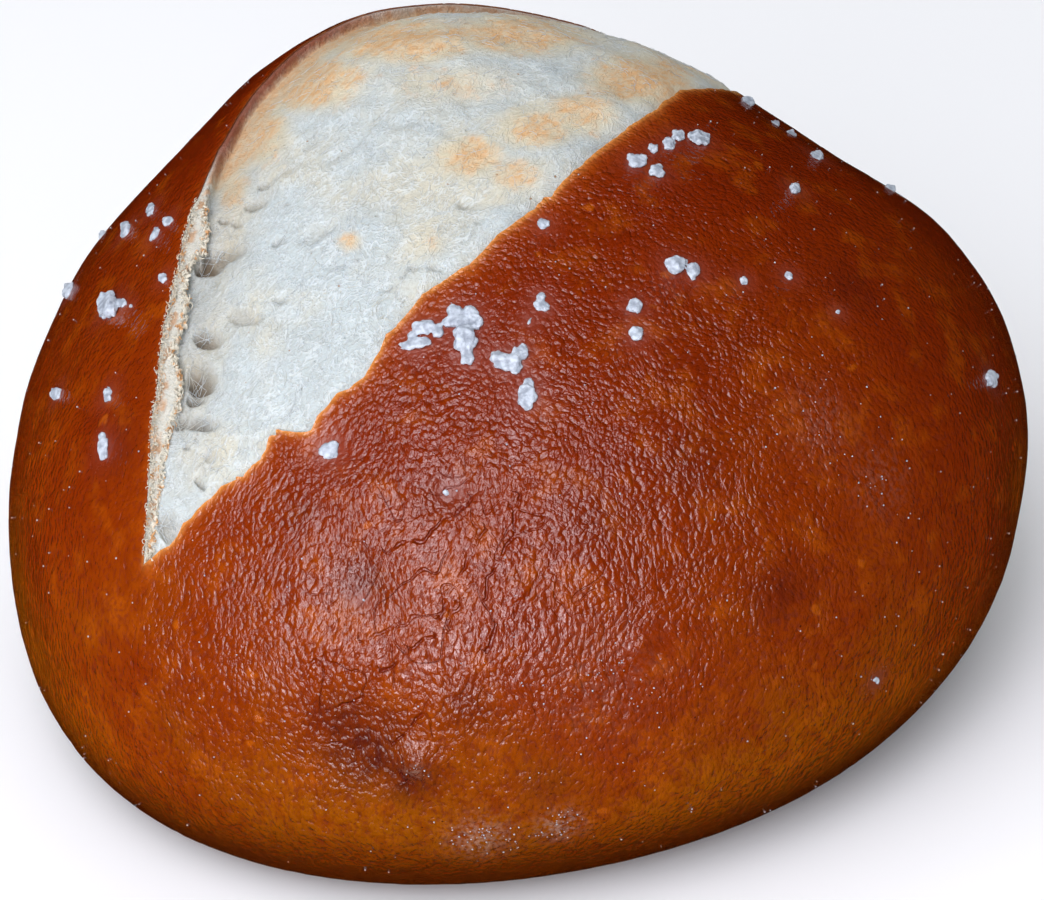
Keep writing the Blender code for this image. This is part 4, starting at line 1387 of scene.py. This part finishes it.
def random_value(board, low, high, seed):
    feed = {"Min_001": low, "Max_001": high, "Seed": seed}
    return board.node("FunctionNodeRandomValue", {"data_type": "FLOAT"}, feed, "Value_001")


def random_turn(board, seed, shift):
    """A rotation about all three axes by chance."""
    turn = board.node("ShaderNodeCombineXYZ", None, {
        axis: random_value(board, 0.0, math.tau, seed + (shift + place))
        for place, axis in enumerate("XYZ")
    })
    return board.node("FunctionNodeEulerToRotation", None, {0: turn})


def make_strand_tree():
    tree, board, size = new_tree("gluten strands", (
        ("Radius", FLOAT, 0.024), ("Wander", FLOAT, 0.42), ("Sides", WHOLE, 3), ("Seed", WHOLE, 3),
        ("Finish", FINISH, None),
    ))
    place = board.node("GeometryNodeInputPosition")
    wander = board.vector("SUBTRACT", board.noise(place, 0.9, 1.0, output="Color"), (0.5, 0.5, 0.5))
    moved = shifted(board, size["Geometry"], board.scaled(wander, size["Wander"]))
    curves = board.node("GeometryNodeMeshToCurve", None, {"Mesh": moved})
    thick = random_value(board, 0.6, 1.5, size["Seed"])
    curves = board.node("GeometryNodeSetCurveRadius", None, {"Curve": curves, "Radius": thick})
    ring = board.node("GeometryNodeCurvePrimitiveCircle", None,
                      {"Resolution": size["Sides"], "Radius": size["Radius"]})
    tubes = board.node("GeometryNodeCurveToMesh", None,
                       {"Curve": curves, "Profile Curve": ring, "Scale": 1.0, "Fill Caps": True})
    smooth = board.node("GeometryNodeSetShadeSmooth", None, {"Geometry": tubes})
    close_tree(board, smooth, size["Finish"])
    return tree


strand_finish = make_strand_finish()
grow(strands, make_strand_tree(), {"Finish": strand_finish})

# %% [markdown]
# ## Torn fringe
# Where the skin ripped it left a lacy band of tiny curled flakes along the back lip. Each one is
# a short bent thread or a thin chip, so two small shapes are strewn along the lip's line, turned
# and sized at random, and made one mesh.

# %% Fringe line
FRINGE_FROM, FRINGE_TO = -44.6, -18.5
FRINGE_STEPS = 260
FRINGE_INSET, FRINGE_SINK = 0.15, 0.05


def back_lip():
    """(x, y) along the part of the back lip that tore."""
    for step in range(FRINGE_STEPS + 1):
        x = FRINGE_FROM + (FRINGE_TO - FRINGE_FROM) * step / FRINGE_STEPS
        yield x, lip_lines(x)[1]


def fringe_path():
    for x, lip in back_lip():
        y = lip - FRINGE_INSET
        yield Vector((x, y, skin_height(x, y) - FRINGE_SINK))


fringe = path_mesh("torn_fringe", [list(fringe_path())])


# %% Fringe finish and tree
CHIP_WHITE, CHIP_GOLD = srgb(202, 196, 180), srgb(194, 146, 96)


def make_fringe_finish():
    finish, board, place = new_finish("torn_skin")
    grain = board.step(board.noise(place, 0.7, 2.0), 0.50, 0.66)
    close_finish(board, {
        "Base Color": board.mix(grain, CHIP_WHITE, CHIP_GOLD),
        "Roughness": 0.6,
        "Normal": bumped(board, 0.03 * board.noise(place, 0.2)),
    })
    return finish


def make_fringe_tree():
    tree, board, size = new_tree("torn fringe", (
        ("Curls", WHOLE, 560), ("Chips", WHOLE, 300), ("Curl size", FLOAT, 0.23),
        ("Thread", FLOAT, 0.030), ("Chip size", FLOAT, 0.17), ("Band", FLOAT, 0.42),
        ("Seed", WHOLE, 8), ("Finish", FINISH, None),
    ))
    line = board.node("GeometryNodeMeshToCurve", None, {"Mesh": size["Geometry"]})
    arc = board.node("GeometryNodeCurveArc", {"mode": "RADIUS"},
                     {"Resolution": 6, "Radius": size["Curl size"], "Sweep Angle": 3.6})
    ring = board.node("GeometryNodeCurvePrimitiveCircle", None, {"Resolution": 4, "Radius": size["Thread"]})
    curl = board.node("GeometryNodeCurveToMesh", None,
                      {"Curve": arc, "Profile Curve": ring, "Scale": 1.0, "Fill Caps": True})
    ball = board.node("GeometryNodeMeshIcoSphere", None, {"Radius": size["Chip size"], "Subdivisions": 1})
    flat = board.node("GeometryNodeTransform", None, {"Geometry": ball, "Scale": (1.0, 0.6, 0.28)})
    kinds = ((curl, size["Curls"], 0), (flat, size["Chips"], 20))
    parts = [strewn(board, line, shape, count, size, shift) for shape, count, shift in kinds]
    joined = board.tree.nodes.new("GeometryNodeJoinGeometry")
    for part in parts:
        board.tree.links.new(part.socket, joined.inputs[0])
    close_tree(board, Value(board, joined.outputs[0]), size["Finish"])
    return tree


def strewn(board, line, shape, count, size, shift):
    """Copies of a shape along a line, in a band, each turned and sized at random."""
    points = board.node("GeometryNodeResampleCurve", {"mode": "COUNT"}, {"Curve": line, "Count": count})
    offset = board.node("ShaderNodeCombineXYZ", None, {
        "X": random_value(board, -0.15, 0.15, size["Seed"] + shift),
        "Y": size["Band"] * random_value(board, -1.3, 0.5, size["Seed"] + (shift + 1)),
        "Z": random_value(board, -0.16, 0.14, size["Seed"] + (shift + 2)),
    })
    grown = random_value(board, 0.45, 1.25, size["Seed"] + (shift + 6))
    return board.node("GeometryNodeInstanceOnPoints", None, {
        "Points": shifted(board, points, offset),
        "Instance": shape,
        "Rotation": random_turn(board, size["Seed"], shift + 3),
        "Scale": grown,
    })


fringe_finish, fringe_tree = make_fringe_finish(), make_fringe_tree()
grow(fringe, fringe_tree, {"Finish": fringe_finish})

# %% [markdown]
# ## Torn plates
# The shelf under that fringe ends in ragged plates of crumb that hang over the burst cells. The
# same tree makes them: its inputs ask for larger, fewer flakes, along the shelf's inner edge.

# %% Plates
PLATE_SIZES = {
    "Curls": 160, "Chips": 420, "Curl size": 0.35, "Thread": 0.045, "Chip size": 0.34,
    "Band": 0.35, "Seed": 31,
}


def plate_path():
    for x, lip in back_lip():
        yield on_crumb(x, lip - float(np.interp(x, *np.transpose(SHELF_WIDTHS))), 0.0)


plates = path_mesh("torn_plates", [list(plate_path())])
grow(plates, fringe_tree, {**PLATE_SIZES, "Finish": fringe_finish})


# %% [markdown]
# ## The grains themselves
# A lobe of pressed salt is a flat, angular flake. The hull of points strewn over a squared-off
# ellipsoid looks like one, and smaller ones round its rim break its outline. Its two long axes
# are laid on the skin so that from the camera they show as they do in the photo. All lobes are
# then remeshed as one skin, which melts those that touch into clumps, and noise pits them.

# %% Salt shapes
SHARD_POINTS, SHARD_SQUARE, SHARD_JITTER = 16, 0.80, 0.72
SHARD_CORE, RIM_SHARDS, RIM_SHARE = 0.88, 5, (0.42, 0.70)
SALT_THICK, SALT_SUNK = (0.36, 0.52), 0.14
THINNEST, THINNEST_AT_RIM, RIM_THICK, RIM_SUNK = 0.35, 0.3, (0.5, 0.95), 0.12
RIM_SWAY = 0.35
SALT_VOXEL, SALT_SMOOTHING = 0.10, 2
STEEPEST_VIEW = 0.5
GRAIN_LOBES, LOBE_REACH, LOBE_SIZES = 3, 0.30, (0.5, 0.85)


def add_shard(shape, middle, axes, draw):
    """The hull of random points on a squared ellipsoid with these axes: one angular flake."""
    corners = []
    for _ in range(SHARD_POINTS):
        around, rise = draw.uniform(0.0, math.tau), draw.uniform(-0.8, 0.8)
        flat = math.sqrt(1.0 - rise * rise) * draw.uniform(SHARD_JITTER, 1.0)
        parts = (flat * math.cos(around), flat * math.sin(around), rise)
        squared = [math.copysign(abs(part) ** SHARD_SQUARE, part) for part in parts]
        corners.append(shape.verts.new(middle + sum(
            (axis * part / 2.0 for axis, part in zip(axes, squared)), Vector())))
    hull = bmesh.ops.convex_hull(shape, input=corners)
    left_over = hull["geom_interior"] + hull["geom_unused"]
    spare = {item for item in left_over if isinstance(item, bmesh.types.BMVert)}
    bmesh.ops.delete(shape, geom=list(spare), context="VERTS")


def seat_shard(shape, place, normal, flat_axes, small, draw):
    """One flake with its foot in the skin, and smaller ones round its rim that make it lobed."""
    along, across = flat_axes
    thick = small * draw.uniform(*SALT_THICK)
    middle = place + normal * (thick / 2.0 - SALT_SUNK)
    core_axes = (SHARD_CORE * along, SHARD_CORE * across, normal * max(thick, THINNEST))
    add_shard(shape, middle, core_axes, draw)
    first = draw.uniform(0.0, math.tau)
    for step in range(RIM_SHARDS):
        angle = first + math.tau * (step + draw.uniform(-RIM_SWAY, RIM_SWAY)) / RIM_SHARDS
        share = draw.uniform(*RIM_SHARE)
        aside = (along * math.cos(angle) + across * math.sin(angle)) * (0.5 - share / 2.0)
        high = max(thick * draw.uniform(*RIM_THICK), THINNEST_AT_RIM)
        rim_axes = (along * share, across * share, normal * high)
        add_shard(shape, middle + aside - normal * thick * RIM_SUNK, rim_axes, draw)


def shown_axes(normal, length, width, turn):
    """Axes on the skin that show in the photo with this length, width and turn."""
    right, up, back = camera_turn().transposed()
    facing = max(normal.dot(back), STEEPEST_VIEW)
    for size, angle in ((length, math.radians(turn)), (width, math.radians(turn + 90.0))):
        shown = (right * math.cos(angle) + up * math.sin(angle)) * size
        yield shown - back * (normal.dot(shown) / facing)


def make_salt():
    draw = random.Random(SALT_SEED)
    shape = bmesh.new()
    for place, normal, length, width, turn in shown_lobes:
        axes = shown_axes(normal, length, width, turn)
        seat_shard(shape, place, normal, axes, min(length, width), draw)
    for place, normal, length in thrown:
        level = normal.orthogonal().normalized()
        for _ in range(GRAIN_LOBES):
            level.rotate(Matrix.Rotation(draw.uniform(0.0, math.tau), 3, normal))
            size = length * draw.uniform(*LOBE_SIZES)
            axes = (level * size, normal.cross(level) * size * draw.uniform(0.6, 0.95))
            seat_shard(shape, place + level * length * LOBE_REACH, normal, axes, 0.75 * size, draw)
    mesh = bpy.data.meshes.new("coarse_salt")
    shape.to_mesh(mesh)
    shape.free()
    salt = new_piece("coarse_salt", mesh)
    melt = salt.modifiers.new("melt together", "REMESH")
    melt.mode = "VOXEL"
    melt.voxel_size = SALT_VOXEL
    soften = salt.modifiers.new("soften", "SMOOTH")
    soften.iterations = SALT_SMOOTHING
    salt.data = baked_mesh(salt)
    salt.modifiers.clear()
    return salt


salt = make_salt()
print("salt:", triangles(salt.data), "triangles")

# %% Salt finish and pits
SALT_WHITE, SALT_SHADE = srgb(188, 196, 207), srgb(146, 153, 165)


def make_salt_finish():
    finish, board, place = new_finish("rock_salt")
    grain = board.noise(place, 0.6, 3.0)
    close_finish(board, {
        "Base Color": board.mix(board.step(grain, 0.35, 0.65), SALT_SHADE, SALT_WHITE),
        "Roughness": 0.5,
        "Subsurface Weight": 0.4,
        "Subsurface Radius": (1.0, 1.0, 1.0),
        "Subsurface Scale": 0.7 * MM,
        "Normal": bumped(board, 0.04 * board.noise(place, 0.22, 2.0)),
    })
    return finish


def make_pit_tree():
    tree, board, size = new_tree("salt pits", (
        ("Pit size", FLOAT, 0.6), ("Pit depth", FLOAT, 0.12), ("Finish", FINISH, None),
    ))
    place = board.node("GeometryNodeInputPosition")
    pits = size["Pit depth"] * 2.0 * (board.noise(place, size["Pit size"], 3.0) - 0.5)
    normal = board.node("GeometryNodeInputNormal")
    moved = shifted(board, size["Geometry"], board.scaled(normal, pits))
    smooth = board.node("GeometryNodeSetShadeSmooth", None, {"Geometry": moved})
    close_tree(board, smooth, size["Finish"])
    return tree


salt_finish = make_salt_finish()
grow(salt, make_pit_tree(), {"Finish": salt_finish})

# %% [markdown]
# ## Salt dust
# Splinters of salt and dried lye cling to the crust and sparkle. They are strewn over the skin
# by chance, densely in the dusty marks and thinly elsewhere, each a tiny lump.

# %% Dust
def make_dust_tree():
    tree, board, size = new_tree("salt dust", (
        ("Everywhere", FLOAT, 0.05), ("In marks", FLOAT, 9.0), ("Lump", FLOAT, 0.055),
        ("Above", FLOAT, 3.0), ("Seed", WHOLE, 4), ("Finish", FINISH, None),
    ))
    dust, place = stored(board, "dust"), board.node("GeometryNodeInputPosition")
    patchy = board.step(board.noise(place, 2.5, 2.0), 0.45, 0.65)
    density = size["Everywhere"] + size["In marks"] * dust * dust * patchy
    density = density * (1.0 - stored(board, "wall"))
    density = density * board.step(board.axis(place, "Z"), size["Above"], size["Above"] + 1.0)
    points = board.node("GeometryNodeDistributePointsOnFaces", {"distribute_method": "RANDOM"},
                        {"Mesh": size["Geometry"], "Density": density, "Seed": size["Seed"]})
    lump = board.node("GeometryNodeMeshIcoSphere", None, {"Radius": size["Lump"], "Subdivisions": 1})
    lumps = board.node("GeometryNodeInstanceOnPoints", None, {
        "Points": points,
        "Instance": lump,
        "Rotation": random_turn(board, size["Seed"], 0),
        "Scale": random_value(board, 0.5, 1.7, size["Seed"] + 5),
    })
    close_tree(board, lumps, size["Finish"])
    return tree


dust = new_piece("salt_dust", crust.data.copy())
grow(dust, make_dust_tree(), {"Finish": salt_finish})

# %% [markdown]
# ## Putting the pieces on the model
# All pieces were made in millimetres round the model's origin, so each mesh is scaled to metres once and its
# object stays at the origin. Each rides on the one body and stands for the one node, which stays in place,
# hidden.

# %% Hand the pieces over
BODY = "root"
CRUST_SLOT, CRUMB_SLOT, SALT_SLOT = "baked_crust", "open_crumb", "coarse_salt"


def hand_over(piece, slot):
    piece.data.transform(Matrix.Scale(MM, 4))
    piece.data.update()
    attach(piece, BODY)
    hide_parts(NODE)
    points = read_points(piece.data) / MM
    print(piece.name, "spans", points.min(axis=0).round(1), "to", points.max(axis=0).round(1), "mm")


crust.data.shade_smooth()
crust.data.set_sharp_from_angle(angle=math.radians(50.0))
crumb.data.shade_smooth()
hand_over(crust, CRUST_SLOT)
for piece in (crumb, strands, fringe, plates):
    hand_over(piece, CRUMB_SLOT)
for piece in (salt, dust):
    hand_over(piece, SALT_SLOT)

# %% [markdown]
# ## Floor, light and camera
# The floor is plain and pale. The sheen on the crust tells how the roll was lit: it is one
# upright band, so the light was a tall, narrow window behind the camera and to its left. A wide
# soft lamp stands for the window, a bright strip in it breaks up on the grain of the skin into
# small glints, and a short one near the table brings the band down to the foot. A side lamp, a
# ceiling and a dim even world only fill the shadows, and neither they nor the floor show in the
# gloss.

# %% Floor
FLOOR_HALF, FLOOR_DROP = 2.0, 0.00005
FLOOR_WHITE = srgb(248, 248, 249)


def make_floor():
    mesh = bpy.data.meshes.new("floor")
    quarters = ((-1, -1), (1, -1), (1, 1), (-1, 1))
    corners = [(side * FLOOR_HALF, end * FLOOR_HALF, -FLOOR_DROP) for side, end in quarters]
    mesh.from_pydata(corners, [], [(0, 1, 2, 3)])
    finish = bpy.data.materials.new("pale_floor")
    finish.use_nodes = True
    finish.node_tree.nodes.clear()
    close_finish(Board(finish.node_tree), {"Base Color": FLOOR_WHITE, "Roughness": 0.95})
    mesh.materials.append(finish)
    floor = new_piece("floor", mesh)
    floor.visible_glossy = False
    return floor


make_floor()

# %% Lights
AIM = Vector((0.0, 0.0, 25.0)) * MM
WINDOW_AZIMUTH, WINDOW_ELEVATION, WINDOW_AWAY = -159.0, 31.0, 0.9
WINDOW_WIDE, WINDOW_HIGH, WINDOW_POWER = 0.85, 1.9, 8.3
PANE_AZIMUTH, PANE_ELEVATION, PANE_WIDE, PANE_HIGH, PANE_POWER = -158.0, 34.0, 0.26, 1.6, 5.0
LOW_ELEVATION, LOW_HIGH, LOW_POWER = 9.0, 0.28, 0.8
SIDE_AZIMUTH, SIDE_ELEVATION, SIDE_WIDE, SIDE_POWER = 165.0, 40.0, 0.8, 2.1
CEILING_UP, CEILING_WIDE, CEILING_POWER = 1.0, 1.15, 1.5
WINDOW_COLOUR, PANE_COLOUR = (0.94, 0.97, 1.0), (0.97, 0.91, 1.0)
FILL_COLOUR, FILL_STRENGTH = (0.95, 0.975, 1.0, 1.0), 0.42


def point_at(thing, aim):
    thing.rotation_euler = (aim - thing.location).to_track_quat("-Z", "Y").to_euler()


def towards(azimuth, elevation):
    """The direction that these two angles, in degrees, give."""
    around, rise = math.radians(azimuth), math.radians(elevation)
    level = math.cos(rise)
    return Vector((level * math.cos(around), level * math.sin(around), math.sin(rise)))


def make_lamp(name, place, wide, high, power, colour, in_gloss=True):
    lamp = bpy.data.lights.new(name, "AREA")
    lamp.shape = "RECTANGLE"
    lamp.size, lamp.size_y = wide, high
    lamp.energy, lamp.color = power, colour
    hung = bpy.data.objects.new(name, lamp)
    hung.location = place
    hung.visible_camera, hung.visible_glossy = False, in_gloss
    point_at(hung, AIM)
    bpy.context.scene.collection.objects.link(hung)


def make_room():
    world = bpy.data.worlds.new("room")
    world.use_nodes = True
    sky = world.node_tree.nodes["Background"]
    sky.inputs["Color"].default_value = FILL_COLOUR
    sky.inputs["Strength"].default_value = FILL_STRENGTH
    world.cycles_visibility.glossy = False
    bpy.context.scene.world = world


window_at = AIM + towards(WINDOW_AZIMUTH, WINDOW_ELEVATION) * WINDOW_AWAY
pane_at = AIM + towards(PANE_AZIMUTH, PANE_ELEVATION) * WINDOW_AWAY
low_at = AIM + towards(PANE_AZIMUTH, LOW_ELEVATION) * WINDOW_AWAY
side_at = AIM + towards(SIDE_AZIMUTH, SIDE_ELEVATION) * WINDOW_AWAY
ceiling_at = AIM + Vector((0.0, 0.0, CEILING_UP))
make_lamp("window", window_at, WINDOW_WIDE, WINDOW_HIGH, WINDOW_POWER, WINDOW_COLOUR)
make_lamp("bright_pane", pane_at, PANE_WIDE, PANE_HIGH, PANE_POWER, PANE_COLOUR)
make_lamp("low_pane", low_at, PANE_WIDE, LOW_HIGH, LOW_POWER, PANE_COLOUR)
make_lamp("side_wall", side_at, SIDE_WIDE, SIDE_WIDE, SIDE_POWER, WINDOW_COLOUR, in_gloss=False)
make_lamp("ceiling", ceiling_at, CEILING_WIDE, CEILING_WIDE, CEILING_POWER, WINDOW_COLOUR, in_gloss=False)
make_room()
bpy.context.scene.view_settings.view_transform = "Standard"

# %% Camera
def make_camera():
    eye = bpy.data.objects.new("camera", bpy.data.cameras.new("camera"))
    eye.data.lens = CAMERA_LENS
    eye.location = CAMERA_AT * MM
    eye.rotation_euler = camera_turn().to_euler()
    bpy.context.scene.collection.objects.link(eye)
    bpy.context.scene.camera = eye


make_camera()
